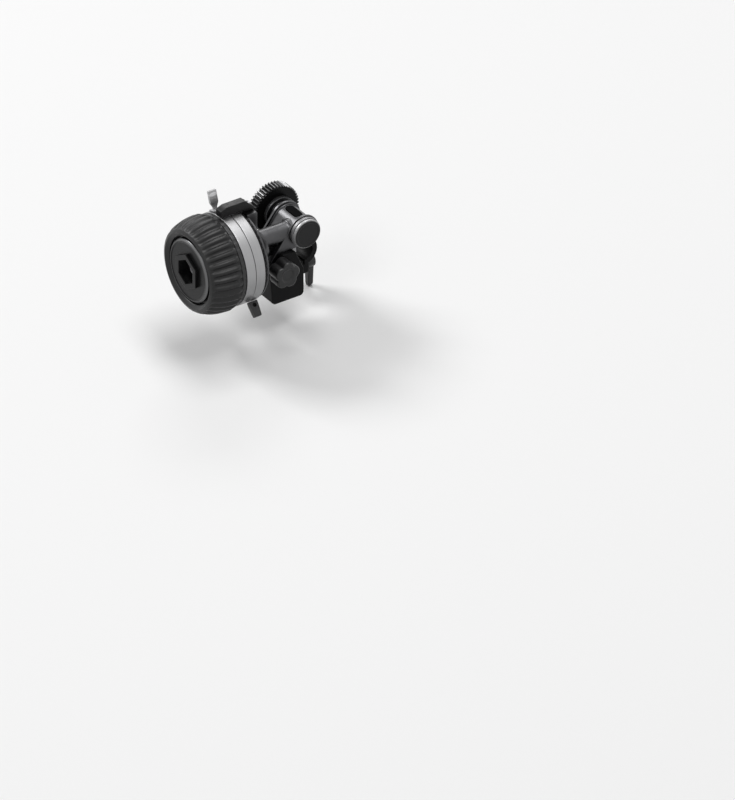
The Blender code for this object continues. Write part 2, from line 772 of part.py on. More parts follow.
def make_layshaft(frame, ring_start):
    """Layshaft with its pinion inside the ring gear and a mitre gear at the cross shaft."""
    pitch = MITRE_TEETH * TRAIN_MODULE / 2
    pinion_start = ring_start + (RING_GEAR_WIDTH - PINION_WIDTH) / 2
    end = GEAR_REACH - OUTPUT_RADIUS - OVERRUN
    shaft = turned(rod_profile(LAYSHAFT_START, end, LAYSHAFT_RADIUS), SMALL_STEPS, False)
    add("layshaft", shaft, "steel", frame)
    teeth = flat(
        gear_outline(
            PINION_TEETH,
            TRAIN_MODULE,
            ADDENDUM_SHARE * TRAIN_MODULE,
            DEDENDUM_SHARE * TRAIN_MODULE,
            BACKLASH,
            PLAIN_FLANK_SHARES,
        )
    )
    pinion = add(
        "layshaft_pinion", prism(teeth, pinion_start, pinion_start + PINION_WIDTH), "brass", frame
    )
    bore = turned(
        rod_profile(
            pinion_start - OVERRUN, pinion_start + PINION_WIDTH + OVERRUN, LAYSHAFT_RADIUS + SEAT
        ),
        SMALL_STEPS,
        False,
    )
    cut(pinion, tool("layshaft_pinion_bore", bore, frame))
    place = Matrix.Translation((0, 0, GEAR_REACH)) @ Matrix.Rotation(math.pi, 4, "X")
    mitre_gear("driving_bevel", frame, place, math.pi / 2)
    return GEAR_REACH - pitch - DEDENDUM_SHARE * TRAIN_MODULE * math.sqrt(0.5) - MITRE_HUB_LENGTH


def make_bush(name, frame, start, length, shaft, outer):
    inner = bore_radius(shaft, SMALL_STEPS)
    profile = tube_profile(start, start + length, inner, outer)
    return add(name, turned(profile, SMALL_STEPS, hollow=True), "brass", frame)


def make_bearing_plate(frame):
    """Plate behind the handwheel: closes the drum and carries the wheel shaft's long bush."""
    washer_end = CORE_HUB_REACH + SEAT + WASHER_THICKNESS
    hub_start = washer_end + SEAT
    end = REAR_BAND_START + PLATE_THICKNESS
    bush_outer = SHAFT_RADIUS + BUSH_WALL
    profile = [
        (hub_start, bush_outer + SEAT),
        (end, bush_outer + SEAT),
        (end, PLATE_RADIUS),
        (REAR_BAND_START, PLATE_RADIUS),
        (REAR_BAND_START, PLATE_HUB_RADIUS),
        (hub_start, PLATE_HUB_RADIUS),
    ]
    plate = add("bearing_plate", turned(profile, MEDIUM_STEPS, hollow=True), "casting", frame)
    make_bush("input_bush", frame, hub_start, end - hub_start, SHAFT_RADIUS, bush_outer)
    places = []
    for index in range(PLATE_SCREWS):
        turn = math.tau * index / PLATE_SCREWS + math.pi / MEDIUM_STEPS
        x, y = PLATE_SCREW_CIRCLE * math.cos(turn), PLATE_SCREW_CIRCLE * math.sin(turn)
        flip = Matrix.Rotation(math.pi, 4, "X")
        places.append(Matrix.Translation((x, y, REAR_BAND_START - SEAT)) @ flip)
        hole = prism(
            circle(PLATE_SCREW_RADIUS + SEAT, SMALL_STEPS // 2, centre=(x, y)),
            REAR_BAND_START - OVERRUN,
            end + OVERRUN,
        )
        cut(plate, tool(f"plate_hole_{index}", hole, frame))
    sizes = (PLATE_SCREW_RADIUS, PLATE_SCREW_LENGTH, PLATE_SCREW_HEAD, PLATE_SCREW_HEAD_HEIGHT)
    for index, place in enumerate(places):
        screw(f"plate_screw_{index + 1}", frame, place, sizes, steps=SMALL_STEPS // 2)
    return places


def flare_profile():
    """Flange, its flare down to the drum, and the drum's inner wall, for the casting's turned part."""
    rear = FLANGE_START + FLANGE_THICKNESS
    run = DRUM_END - rear
    profile = [
        (FLANGE_START, 0),
        (FLANGE_START, FLANGE_RADIUS - FLANGE_CHAMFER),
        (FLANGE_START + FLANGE_CHAMFER, FLANGE_RADIUS),
        (rear - FLANGE_CHAMFER, FLANGE_RADIUS),
        (rear, FLANGE_RADIUS - FLANGE_CHAMFER),
    ]
    for along, out in FLARE_SHARES:
        profile.append((rear + along * run, DRUM_RADIUS + out * (FLARE_RADIUS - DRUM_RADIUS)))
    profile.append((DRUM_END, 0))
    return profile


def tail_line(offset):
    """A point and direction of the sloped edge that is tangent to the head's circle."""
    direction = Vector((-math.cos(TAIL_SLOPE), -math.sin(TAIL_SLOPE)))
    normal = Vector((direction.y, -direction.x))
    return direction, normal * offset


def cheek_outline(radius, foot, hook=0, strip=0):
    """Upright outline, about the gear axis: round head, sloped left edge, flat foot.

    With a hook, a strip of the slope runs on down, over the block's sloped shoulder.
    """
    direction, touch = tail_line(radius)
    start = math.atan2(touch.y, touch.x)
    lowest = -math.asin(foot / radius) if radius > foot else -FOOT_TURN
    outline = [(-radius * FOOT_SHARE, -foot)]
    outline += arc((0, 0), radius, lowest, start, MEDIUM_STEPS // 2)
    low = touch + direction * ((-(hook or foot) - touch.y) / direction.y)
    outline.append((low.x, low.y))
    if hook:
        inner = low - touch * (strip / radius)
        top = inner + direction * ((-foot - inner.y) / direction.y)
        outline += [(inner.x, inner.y), (top.x, top.y)]
    return outline


def rib_outline():
    """Rib under the layshaft's boss, from the flange to the head's sloped edge."""
    direction, touch = tail_line(HEAD_RADIUS - RIM_BAND / 2)
    right = touch + direction * ((-HOOK_DROP + RIM_RADIUS / 2 - touch.y) / direction.y)
    flange_back = FLANGE_START + FLANGE_THICKNESS / 2 - GEAR_REACH
    return [(flange_back, 0), (flange_back, -RIB_DROP), (right.x, right.y), (touch.x, 0)]


def upright(outline, front, back):
    """Extrude an upright (X, Z) outline along Y, with X and Z measured from the gear axis."""
    return prism([(x, -z) for x, z in outline], front, back)


def make_housing(wheel, lay, output):
    """Casting: turned flange and drum, layshaft boss, cross cylinder between two rimmed cheeks."""
    housing = add(
        "gearbox_housing", turned(flare_profile(), LARGE_STEPS, hollow=False), "casting", wheel
    )
    boss_end = GEAR_REACH - HEAD_RADIUS / 2
    boss = turned(rod_profile(DRUM_END - OVERRUN, boss_end, BOSS_RADIUS), MEDIUM_STEPS, False)
    foot = SEAT_DROP + DRIVE_LIFT
    half = RIM_THICKNESS / 2
    web_radius = HEAD_RADIUS - SEAT
    web_strip = HOOK_STRIP - RIM_BAND - SEAT
    front = -HEAD_FRONT
    shapes = {
        "cross_head": (cheek_outline(HEAD_RADIUS, foot - SEAT), front + half, HEAD_BACK - half),
        "rim_back": (cheek_outline(RIM_RADIUS, foot), HEAD_BACK - RIM_THICKNESS, HEAD_BACK),
        "rim_front": (
            cheek_outline(RIM_RADIUS, foot, HOOK_DROP, HOOK_STRIP),
            front,
            front + RIM_THICKNESS,
        ),
        "hook_web": (
            cheek_outline(web_radius, foot - SEAT / 2, HOOK_DROP - SEAT, web_strip),
            front + SEAT,
            HOOK_BACK,
        ),
        "boss_rib": (rib_outline(), -RIB_HALF_THICKNESS, RIB_HALF_THICKNESS),
    }
    join(housing, tool("layshaft_boss", boss, lay))
    for name, (outline, near, far) in shapes.items():
        join(housing, tool(name, upright(outline, near, far), output))
    spigot_end = -HEAD_FRONT - COLLAR_LENGTH - CAP_LENGTH + CAP_FACE
    spigot = turned(
        rod_profile(spigot_end, -HEAD_FRONT + half, SPIGOT_RADIUS), MEDIUM_STEPS, False
    )
    lug = prism(
        box_outline(DRUM_RADIUS, LUG_TOP, -LUG_HALF_WIDTH, LUG_HALF_WIDTH),
        FLANGE_START + FLANGE_CHAMFER,
        FLANGE_START + FLANGE_THICKNESS + LUG_LENGTH,
    )
    lug_tool = tool("pointer_lug", lug, wheel)
    soften(lug_tool, LUG_CHAMFER, segments=1)
    join(housing, tool("cap_spigot", spigot, output), lug_tool)
    return housing, spigot_end


def hollow_housing(housing, wheel, lay, output, spigot_end, plate_places):
    """Cut the drum's hollow, the layshaft's bore and the cross bore."""
    drum = turned(
        rod_profile(
            FLANGE_START - OVERRUN, FLANGE_START + CAVITY_DEPTH, RING_GEAR_RADIUS + 3 * SEAT
        ),
        MEDIUM_STEPS,
        False,
    )
    bore = LAYSHAFT_BUSH_RADIUS + SEAT
    along = turned(
        rod_profile(FLANGE_START + CAVITY_DEPTH - OVERRUN, GEAR_REACH, bore), SMALL_STEPS, False
    )
    across = turned(
        rod_profile(spigot_end - OVERRUN, HEAD_BACK + OVERRUN, BUSH_RADIUS + SEAT),
        SMALL_STEPS,
        False,
    )
    cut(
        housing,
        tool("drum_hollow", drum, wheel),
        tool("layshaft_bore", along, lay),
        tool("cross_bore", across, output),
    )
    for index, place in enumerate(plate_places):
        centre = place.translation
        hole = prism(
            circle(PLATE_SCREW_RADIUS + SEAT, SMALL_STEPS // 2, centre=(centre.x, centre.y)),
            FLANGE_START - OVERRUN,
            FLANGE_START + PLATE_SCREW_LENGTH,
        )
        cut(housing, tool(f"flange_hole_{index}", hole, wheel))


def make_end_cap(output):
    """Collar and turned cap that close the cross cylinder."""
    inner = SPIGOT_RADIUS + SEAT
    collar_end = -HEAD_FRONT - SEAT
    collar_start = collar_end - COLLAR_LENGTH + SEAT
    bevel = CAP_BEVEL / 2
    profile = [
        (collar_start, inner),
        (collar_end, inner),
        (collar_end, COLLAR_RADIUS),
        (collar_start + bevel, COLLAR_RADIUS),
        (collar_start, COLLAR_RADIUS - bevel),
    ]
    add("end_collar", turned(profile, MEDIUM_STEPS, hollow=True), "casting", output)
    rear = collar_start - SEAT
    front = rear - CAP_LENGTH
    cap = [
        (front, 0),
        (front, CAP_RADIUS - 2 * CAP_BEVEL),
        (front + CAP_BEVEL / 3, CAP_RADIUS - CAP_BEVEL),
        (front + CAP_BEVEL, CAP_RADIUS),
        (rear, CAP_RADIUS),
        (rear, inner),
        (front + CAP_FACE - SEAT, inner),
        (front + CAP_FACE - SEAT, 0),
    ]
    add("end_cap", turned(cap, MEDIUM_STEPS, hollow=False), "black", output)


def make_inlay(output, housing):
    """Bare black inlay, a capsule let into the top of the cross cylinder."""
    straight = (INLAY_LENGTH - INLAY_WIDTH) / 2
    half = INLAY_WIDTH / 2
    outline = arc((0, INLAY_MIDDLE + straight), half, 0, math.pi, MEDIUM_STEPS // 4)
    outline += arc((0, INLAY_MIDDLE - straight), half, math.pi, math.tau, MEDIUM_STEPS // 4)
    place = look_along((0, -1, 0), (1, 0, 0))
    plate = prism(outline, HEAD_RADIUS - INLAY_HEIGHT, HEAD_RADIUS + SEAT)
    plate.transform(place)
    add("top_inlay", plate, "black", output)
    wider = 1 + 2 * SEAT / INLAY_WIDTH
    grown = [(x * wider, y + math.copysign(SEAT, y - INLAY_MIDDLE)) for x, y in outline]
    recess = prism(grown, HEAD_RADIUS - INLAY_HEIGHT - SEAT, HEAD_RADIUS + OVERRUN)
    recess.transform(place)
    cut(housing, tool("inlay_recess", recess, output))


def make_pointer(wheel, housing):
    """Pointer block over the stop rings, on the casting's lug: the stop that both rings meet."""
    under = STOP_RING_RADIUS + POINTER_CLEARANCE
    heel = LUG_TOP + SEAT
    heel_start = FLANGE_START + FLANGE_CHAMFER
    front = -POINTER_FRONT
    flat_end = front + POINTER_LENGTH
    side = [
        (under, front),
        (POINTER_TOP - POINTER_NOSE_DROP, front),
        (POINTER_TOP, front + POINTER_NOSE),
        (POINTER_TOP, flat_end),
        (heel + POINTER_HEEL, flat_end + POINTER_SLOPE_LENGTH),
        (heel, flat_end + POINTER_SLOPE_LENGTH),
        (heel, heel_start),
        (under, heel_start),
    ]
    block = prism([(station, radius) for radius, station in side], -POINTER_WIDTH / 2, POINTER_WIDTH / 2)
    block.transform(look_along((0, 1, 0), (0, 0, 1)))
    pointer = add("index_pointer", block, "black", wheel)
    screw_station = heel_start + LUG_LENGTH / 2 + FLANGE_CHAMFER
    seat = POINTER_TOP - POINTER_SCREW_SINK
    place = Matrix.Translation((seat, 0, screw_station)) @ look_along((1, 0, 0), (0, 0, 1))
    length = POINTER_SCREW_DEPTH + seat - heel
    sizes = (POINTER_SCREW_RADIUS, length, POINTER_SCREW_HEAD, POINTER_SCREW_RADIUS)
    screw("pointer_screw", wheel, place, sizes)
    well = turned(
        [
            (-length - SEAT, 0),
            (-length - SEAT, POINTER_SCREW_RADIUS + SEAT),
            (-SEAT, POINTER_SCREW_RADIUS + SEAT),
            (-SEAT, POINTER_SCREW_HEAD + SEAT),
            (POINTER_SCREW_SINK * 2, POINTER_SCREW_HEAD + SEAT),
            (POINTER_SCREW_SINK * 2, 0),
        ],
        SMALL_STEPS,
        False,
    )
    well.transform(place)
    well_tool = tool("pointer_well", well, wheel)
    cut(pointer, well_tool)
    cut(housing, well_tool)
    notch = prism(
        [(-NOTCH_RADIUS, NOTCH_RADIUS), (0, 0), (NOTCH_RADIUS, NOTCH_RADIUS), (0, NOTCH_RADIUS / 2)],
        -NOTCH_DEPTH,
        OVERRUN,
    )
    mark = front + POINTER_NOSE + 2 * NOTCH_RADIUS
    notch.transform(Matrix.Translation((POINTER_TOP, 0, mark)) @ look_along((1, 0, 0), (0, 1, 0)))
    cut(pointer, tool("pointer_notch", notch, wheel))


def make_drive(output):
    """Output shaft, its mitre gear, collar, drive gear and the parts that hold them."""
    collar_start = HEAD_BACK + 2 * SEAT
    gear_start = collar_start + GEAR_COLLAR_LENGTH + SEAT
    gear_end = gear_start + DRIVE_WIDTH
    face = gear_end - GEAR_RECESS_DEPTH
    nut_start = face + 2 * SEAT + GEAR_WASHER_THICKNESS
    shaft_end = nut_start + GEAR_NUT_HEIGHT + SEAT
    front = -HEAD_FRONT - COLLAR_LENGTH - SEAT
    profile = [
        (front, 0),
        (front, OUTPUT_RADIUS),
        (collar_start, OUTPUT_RADIUS),
        (collar_start, GEAR_SEAT_RADIUS),
        (face - SEAT, GEAR_SEAT_RADIUS),
        (face - SEAT, OUTPUT_RADIUS),
        (shaft_end, OUTPUT_RADIUS),
        (shaft_end, 0),
    ]
    add("output_shaft", turned(profile, SMALL_STEPS, hollow=False), "steel", output)
    mitre_gear("driven_bevel", output, Matrix.Identity(4), math.pi + math.pi / MITRE_TEETH)
    bore = GEAR_SEAT_RADIUS + SEAT
    step = COLLAR_STEP_RADIUS - COLLAR_NECK_RADIUS
    collar = [
        (collar_start + along * GEAR_COLLAR_LENGTH, COLLAR_NECK_RADIUS + out * step)
        for along, out in GEAR_COLLAR_SHARES
    ]
    collar += [(collar_start + GEAR_COLLAR_LENGTH, bore), (collar_start, bore)]
    add("gear_collar", turned(collar, MEDIUM_STEPS, hollow=True), "black", output)
    teeth = gear_outline(
        DRIVE_TEETH,
        DRIVE_MODULE,
        ADDENDUM_SHARE * DRIVE_MODULE,
        DEDENDUM_SHARE * DRIVE_MODULE,
        BACKLASH,
    )
    drive = add("drive_gear", prism(flat(teeth), gear_start, gear_end), "black", output)
    hole = turned(
        [
            (gear_start - OVERRUN, 0),
            (gear_start - OVERRUN, bore),
            (face, bore),
            (face, GEAR_RECESS_RADIUS),
            (gear_end + OVERRUN, GEAR_RECESS_RADIUS),
            (gear_end + OVERRUN, 0),
        ],
        MEDIUM_STEPS,
        False,
    )
    cut(drive, tool("drive_gear_bore", hole, output))
    washer = tube_profile(
        face + SEAT, face + SEAT + GEAR_WASHER_THICKNESS, OUTPUT_RADIUS + SEAT, GEAR_WASHER_RADIUS
    )
    add("gear_washer", turned(washer, SMALL_STEPS, hollow=True), "steel", output)
    nut = add(
        "gear_nut",
        prism(hexagon(GEAR_NUT_ACROSS), nut_start, nut_start + GEAR_NUT_HEIGHT),
        "steel",
        output,
    )
    nut_bore = prism(
        circle(OUTPUT_RADIUS + SEAT, SMALL_STEPS),
        nut_start - OVERRUN,
        nut_start + GEAR_NUT_HEIGHT + OVERRUN,
    )
    cut(nut, tool("gear_nut_bore", nut_bore, output))
    clip_end = HEAD_BACK - SEAT
    clip = tube_profile(
        clip_end - CIRCLIP_THICKNESS, clip_end, OUTPUT_RADIUS + SEAT, CIRCLIP_RADIUS
    )
    add("shaft_circlip", turned(clip, SMALL_STEPS, hollow=True), "steel", output)


def make_output_bushes(output):
    front = -HEAD_FRONT - COLLAR_LENGTH
    make_bush(
        "output_bush_front", output, front, OUTPUT_BUSH_FRONT_LENGTH - SEAT, OUTPUT_RADIUS, BUSH_RADIUS
    )
    end = HEAD_BACK - 2 * SEAT - CIRCLIP_THICKNESS
    start = end - OUTPUT_BUSH_REAR_LENGTH
    make_bush(
        "output_bush_rear", output, start, OUTPUT_BUSH_REAR_LENGTH, OUTPUT_RADIUS, BUSH_RADIUS
    )


def block_outline():
    """Upright (X, Z) outline of the base block, from the gear axis."""
    top = -(SEAT_DROP + DRIVE_LIFT + SEAT)
    left = -BLOCK_REACH
    right = left + BLOCK_TOP_LENGTH
    low = top - BLOCK_HEIGHT
    direction, touch = tail_line(RIM_RADIUS)
    inner = touch - touch * ((HOOK_STRIP + SEAT) / RIM_RADIUS)
    high = inner + direction * ((top - inner.y) / direction.y)
    side = inner + direction * ((left - inner.x) / direction.x)
    start = math.pi
    corner = (left + BLOCK_TAPER + BLOCK_CORNER, low + BLOCK_CORNER)
    outline = [(side.x, side.y)] + arc(corner, BLOCK_CORNER, start, start * 1.5, CORNER_STEPS)
    shoulder = right + BLOCK_SHOULDER
    corner = (shoulder - BLOCK_CORNER, low + BLOCK_CORNER)
    outline += arc(corner, BLOCK_CORNER, start * 1.5, start * 2, CORNER_STEPS)
    return outline + [(shoulder, top - BLOCK_SHOULDER_DROP), (right, top), (high.x, high.y)]


def dovetail(clearance, low, high, back):
    """Dovetail section as (Z, Y) points, wide side towards the viewer."""
    mouth = RAIL_MOUTH / 2 + clearance
    wide = RAIL_WIDTH / 2 + clearance
    low -= clearance
    return [(-wide, low), (wide, low), (mouth, high), (mouth, back), (-mouth, back), (-mouth, high)]


def make_block(output, knob):
    """Base block under the casting, with its dovetail channel and the lock screw's hole."""
    outline = [(x, -z) for x, z in block_outline()]
    back = BLOCK_DEPTH - BLOCK_FRONT
    block = add("slide_block", prism(outline, -BLOCK_FRONT, back), "casting", output)
    soften(block, BLOCK_EDGE, segments=1)
    groove_floor = back - RAIL_DEPTH
    channel = prism(
        dovetail(RAIL_CLEARANCE, groove_floor, back, back + OVERRUN), -GEAR_REACH, GEAR_REACH
    )
    channel.transform(Matrix.Translation((0, RAIL_DROP + DRIVE_LIFT, 0)) @ look_along((1, 0, 0), (0, 1, 0)))
    cut(block, tool("rail_channel", channel, output))
    pad_start = groove_floor - RAIL_CLEARANCE - PAD_THICKNESS - PAD_GAP
    hole = prism(circle(LOCK_SCREW_RADIUS + SEAT, SMALL_STEPS), -BLOCK_FRONT - OVERRUN, groove_floor)
    pocket = prism(circle(PAD_RADIUS + SEAT, SMALL_STEPS), pad_start - SEAT, groove_floor)
    cut(block, tool("lock_hole", hole, knob), tool("pad_pocket", pocket, knob))
    pad = turned(
        rod_profile(pad_start, pad_start + PAD_THICKNESS, PAD_RADIUS), SMALL_STEPS, False
    )
    add("lock_pad", pad, "brass", knob)
    return block, groove_floor, pad_start


def make_block_screws(output, block, housing):
    """Two screws from below that hold the block on the casting."""
    top = -(SEAT_DROP + DRIVE_LIFT + SEAT)
    left = -BLOCK_REACH
    head_z = top - 2 * BLOCK_SCREW_GRIP
    x = left + BLOCK_SCREW_SHARE * BLOCK_TOP_LENGTH
    places = []
    for index, station in enumerate(BLOCK_SCREW_STATIONS):
        place = Matrix.Translation((x, -head_z, station)) @ look_along((0, 1, 0), (1, 0, 0))
        places.append(place)
        shank = turned(
            [
                (-3 * BLOCK_SCREW_GRIP, 0),
                (-3 * BLOCK_SCREW_GRIP, BLOCK_SCREW_RADIUS + SEAT),
                (-SEAT, BLOCK_SCREW_RADIUS + SEAT),
                (-SEAT, BLOCK_SCREW_HEAD + SEAT),
                (BLOCK_HEIGHT, BLOCK_SCREW_HEAD + SEAT),
                (BLOCK_HEIGHT, 0),
            ],
            SMALL_STEPS // 2,
            False,
        )
        shank.transform(place)
        well = tool(f"block_well_{index}", shank, output)
        cut(block, well)
        cut(housing, well)
    length = 3 * BLOCK_SCREW_GRIP - SEAT
    sizes = (BLOCK_SCREW_RADIUS, length, BLOCK_SCREW_HEAD, BLOCK_SCREW_HEAD_HEIGHT)
    for index, place in enumerate(places):
        screw(f"block_screw_{index + 1}", output, place, sizes, steps=SMALL_STEPS // 2)


def make_knob(knob, pad_start):
    """Star knob with five lobes, and the screw it turns."""
    face = -BLOCK_FRONT - SEAT
    points = KNOB_LOBES * KNOB_LOBE_POINTS

    def ring(station, size):
        outline = []
        for step in range(points):
            turn = math.tau * step / points
            wave = abs(math.cos(KNOB_LOBES * turn / 2))
            radius = KNOB_RADIUS * (KNOB_VALLEY_SHARE + (1 - KNOB_VALLEY_SHARE) * wave**0.7) * size
            outline.append(
                (radius * math.cos(turn + KNOB_TURN), radius * math.sin(turn + KNOB_TURN), station)
            )
        return outline

    rings = [ring(face - along * KNOB_DEPTH, size) for along, size in KNOB_STATION_SHARES]
    body = add("lock_knob", loft(rings), "black", knob)
    front = face - KNOB_DEPTH
    grip_end = face - LOCK_SCREW_GRIP
    hole = prism(circle(LOCK_SCREW_RADIUS + SEAT, SMALL_STEPS), grip_end, face + OVERRUN)
    dish = prism(circle(KNOB_DISH_RADIUS, SMALL_STEPS), front - OVERRUN, front + KNOB_DISH_DEPTH)
    cut(body, tool("knob_hole", hole, knob), tool("knob_dish", dish, knob))
    stem = turned(
        rod_profile(grip_end + SEAT, pad_start - 2 * SEAT, LOCK_SCREW_RADIUS), SMALL_STEPS, False
    )
    add("lock_screw", stem, "steel", knob)


def make_mount(output, clamp, groove_floor):
    """Rod clamp with its arm, the dovetail rail on it and the screws between them."""
    back = BLOCK_DEPTH - BLOCK_FRONT
    drop = RAIL_DROP + DRIVE_LIFT
    rail_low = groove_floor + RAIL_CLEARANCE
    foot = CLAMP_FRONT - SEAT - RAIL_FOOT
    section = dovetail(0, rail_low, back, foot + RAIL_CLEARANCE)[:3]
    section += [
        (RAIL_MOUTH / 2, back + SEAT),
        (RAIL_WIDTH / 2, back + SEAT),
        (RAIL_WIDTH / 2, CLAMP_FRONT - SEAT),
    ]
    section += [(-x, y) for x, y in reversed(section[3:])] + [(-RAIL_MOUTH / 2, back)]
    start = -RAIL_REACH
    rail_body = prism(section, start, start + RAIL_LENGTH)
    turn = Matrix.Translation((0, drop, 0)) @ look_along((1, 0, 0), (0, 1, 0))
    rail_body.transform(turn)
    rail = add("dovetail_rail", rail_body, "steel", output)
    reach = ROD_REACH
    rod = (reach, AXIS_RISE + DRIVE_LIFT)
    arm = prism(
        [
            (start, drop - ARM_HALF_HEIGHT),
            (start, drop + ARM_HALF_HEIGHT),
            (rod[0], rod[1] + CLAMP_RADIUS / 2),
            (rod[0], drop - ARM_HALF_HEIGHT),
        ],
        CLAMP_FRONT,
        CLAMP_FRONT + ARM_THICKNESS,
    )
    arm_tool = tool("clamp_arm", arm, output)
    soften(arm_tool, ARM_FILLET / 2, segments=1)
    body = add(
        "rod_clamp_body",
        prism(circle(CLAMP_RADIUS, MEDIUM_STEPS, centre=rod), CLAMP_FRONT, CLAMP_FRONT + CLAMP_LENGTH),
        "casting",
        output,
    )
    ears = prism(
        box_outline(rod[0] - EAR_HALF_WIDTH, rod[0] + EAR_HALF_WIDTH, rod[1], rod[1] + EAR_DROP),
        CLAMP_FRONT + ARM_FILLET,
        CLAMP_FRONT + CLAMP_LENGTH - ARM_FILLET,
    )
    ear_tool = tool("clamp_ears", ears, output)
    soften(ear_tool, ARM_FILLET, segments=2)
    join(body, ear_tool, arm_tool)
    ends = (CLAMP_FRONT - OVERRUN, CLAMP_FRONT + CLAMP_LENGTH + OVERRUN)
    bore = prism(circle(ROD_DIAMETER / 2 + ROD_CLEARANCE, MEDIUM_STEPS, centre=rod), *ends)
    slit = prism(
        box_outline(rod[0] - SLIT / 2, rod[0] + SLIT / 2, rod[1], rod[1] + EAR_DROP + OVERRUN), *ends
    )
    cut(body, tool("rod_bore", bore, output), tool("clamp_slit", slit, output))
    screw_hole = turned(
        rod_profile(-2 * EAR_HALF_WIDTH, 2 * EAR_HALF_WIDTH, bore_radius(CLAMP_SCREW_RADIUS, SMALL_STEPS)),
        SMALL_STEPS,
        False,
    )
    cut(body, tool("clamp_screw_hole", screw_hole, clamp))
    places = []
    head_y = rail_low + RAIL_SCREW_HEAD_HEIGHT + 2 * SEAT
    for index, share in enumerate(RAIL_SCREW_SHARES):
        x = start + share * RAIL_LENGTH
        place = Matrix.Translation((x, drop, head_y)) @ Matrix.Rotation(math.pi, 4, "X")
        places.append(place)
        length = CLAMP_FRONT + ARM_THICKNESS - head_y - RAIL_CLEARANCE
        well = turned(
            [
                (-length - SEAT, 0),
                (-length - SEAT, RAIL_SCREW_RADIUS + SEAT),
                (-SEAT, RAIL_SCREW_RADIUS + SEAT),
                (-SEAT, RAIL_SCREW_HEAD + SEAT),
                (2 * RAIL_DEPTH, RAIL_SCREW_HEAD + SEAT),
                (2 * RAIL_DEPTH, 0),
            ],
            SMALL_STEPS // 2,
            False,
        )
        well.transform(place)
        well_tool = tool(f"rail_well_{index}", well, output)
        cut(rail, well_tool)
        cut(body, well_tool)
    length = CLAMP_FRONT + ARM_THICKNESS - head_y - 2 * RAIL_CLEARANCE
    sizes = (RAIL_SCREW_RADIUS, length, RAIL_SCREW_HEAD, RAIL_SCREW_HEAD_HEIGHT)
    for index, place in enumerate(places):
        screw(f"rail_screw_{index + 1}", output, place, sizes, steps=SMALL_STEPS // 2)


def make_clamp_lever(clamp):
    """Clamp screw through both ears, and the wing lever that turns it."""
    head = -EAR_HALF_WIDTH - SEAT
    hub_start = EAR_HALF_WIDTH + SEAT
    end = hub_start + LEVER_HUB_LENGTH - OVERRUN
    profile = [
        (head - CLAMP_SCREW_HEAD_HEIGHT, 0),
        (head - CLAMP_SCREW_HEAD_HEIGHT, CLAMP_SCREW_HEAD),
        (head, CLAMP_SCREW_HEAD),
        (head, CLAMP_SCREW_RADIUS),
        (end, CLAMP_SCREW_RADIUS),
        (end, 0),
    ]
    add("clamp_screw", turned(profile, SMALL_STEPS, hollow=False), "steel", clamp)
    hub = turned(
        rod_profile(hub_start, hub_start + LEVER_HUB_LENGTH, LEVER_HUB_RADIUS), SMALL_STEPS, False
    )
    lever = add("clamp_lever", hub, "black", clamp)
    tip = LEVER_ARM_WIDTH / 2 * LEVER_TIP_SHARE
    centre = (-LEVER_ARM_LENGTH + tip, 0)
    outline = arc(centre, tip, math.pi / 2, math.pi * 1.5, MEDIUM_STEPS // 5)
    outline += [(0, -LEVER_ARM_WIDTH / 2), (0, LEVER_ARM_WIDTH / 2)]
    arm = prism(outline, hub_start + LEVER_HUB_LENGTH / 4, hub_start + LEVER_HUB_LENGTH - SEAT)
    join(lever, tool("lever_arm", arm, clamp))
    hole = turned(
        rod_profile(hub_start - OVERRUN, end + SEAT, CLAMP_SCREW_RADIUS + SEAT), SMALL_STEPS, False
    )
    cut(lever, tool("lever_hole", hole, clamp))


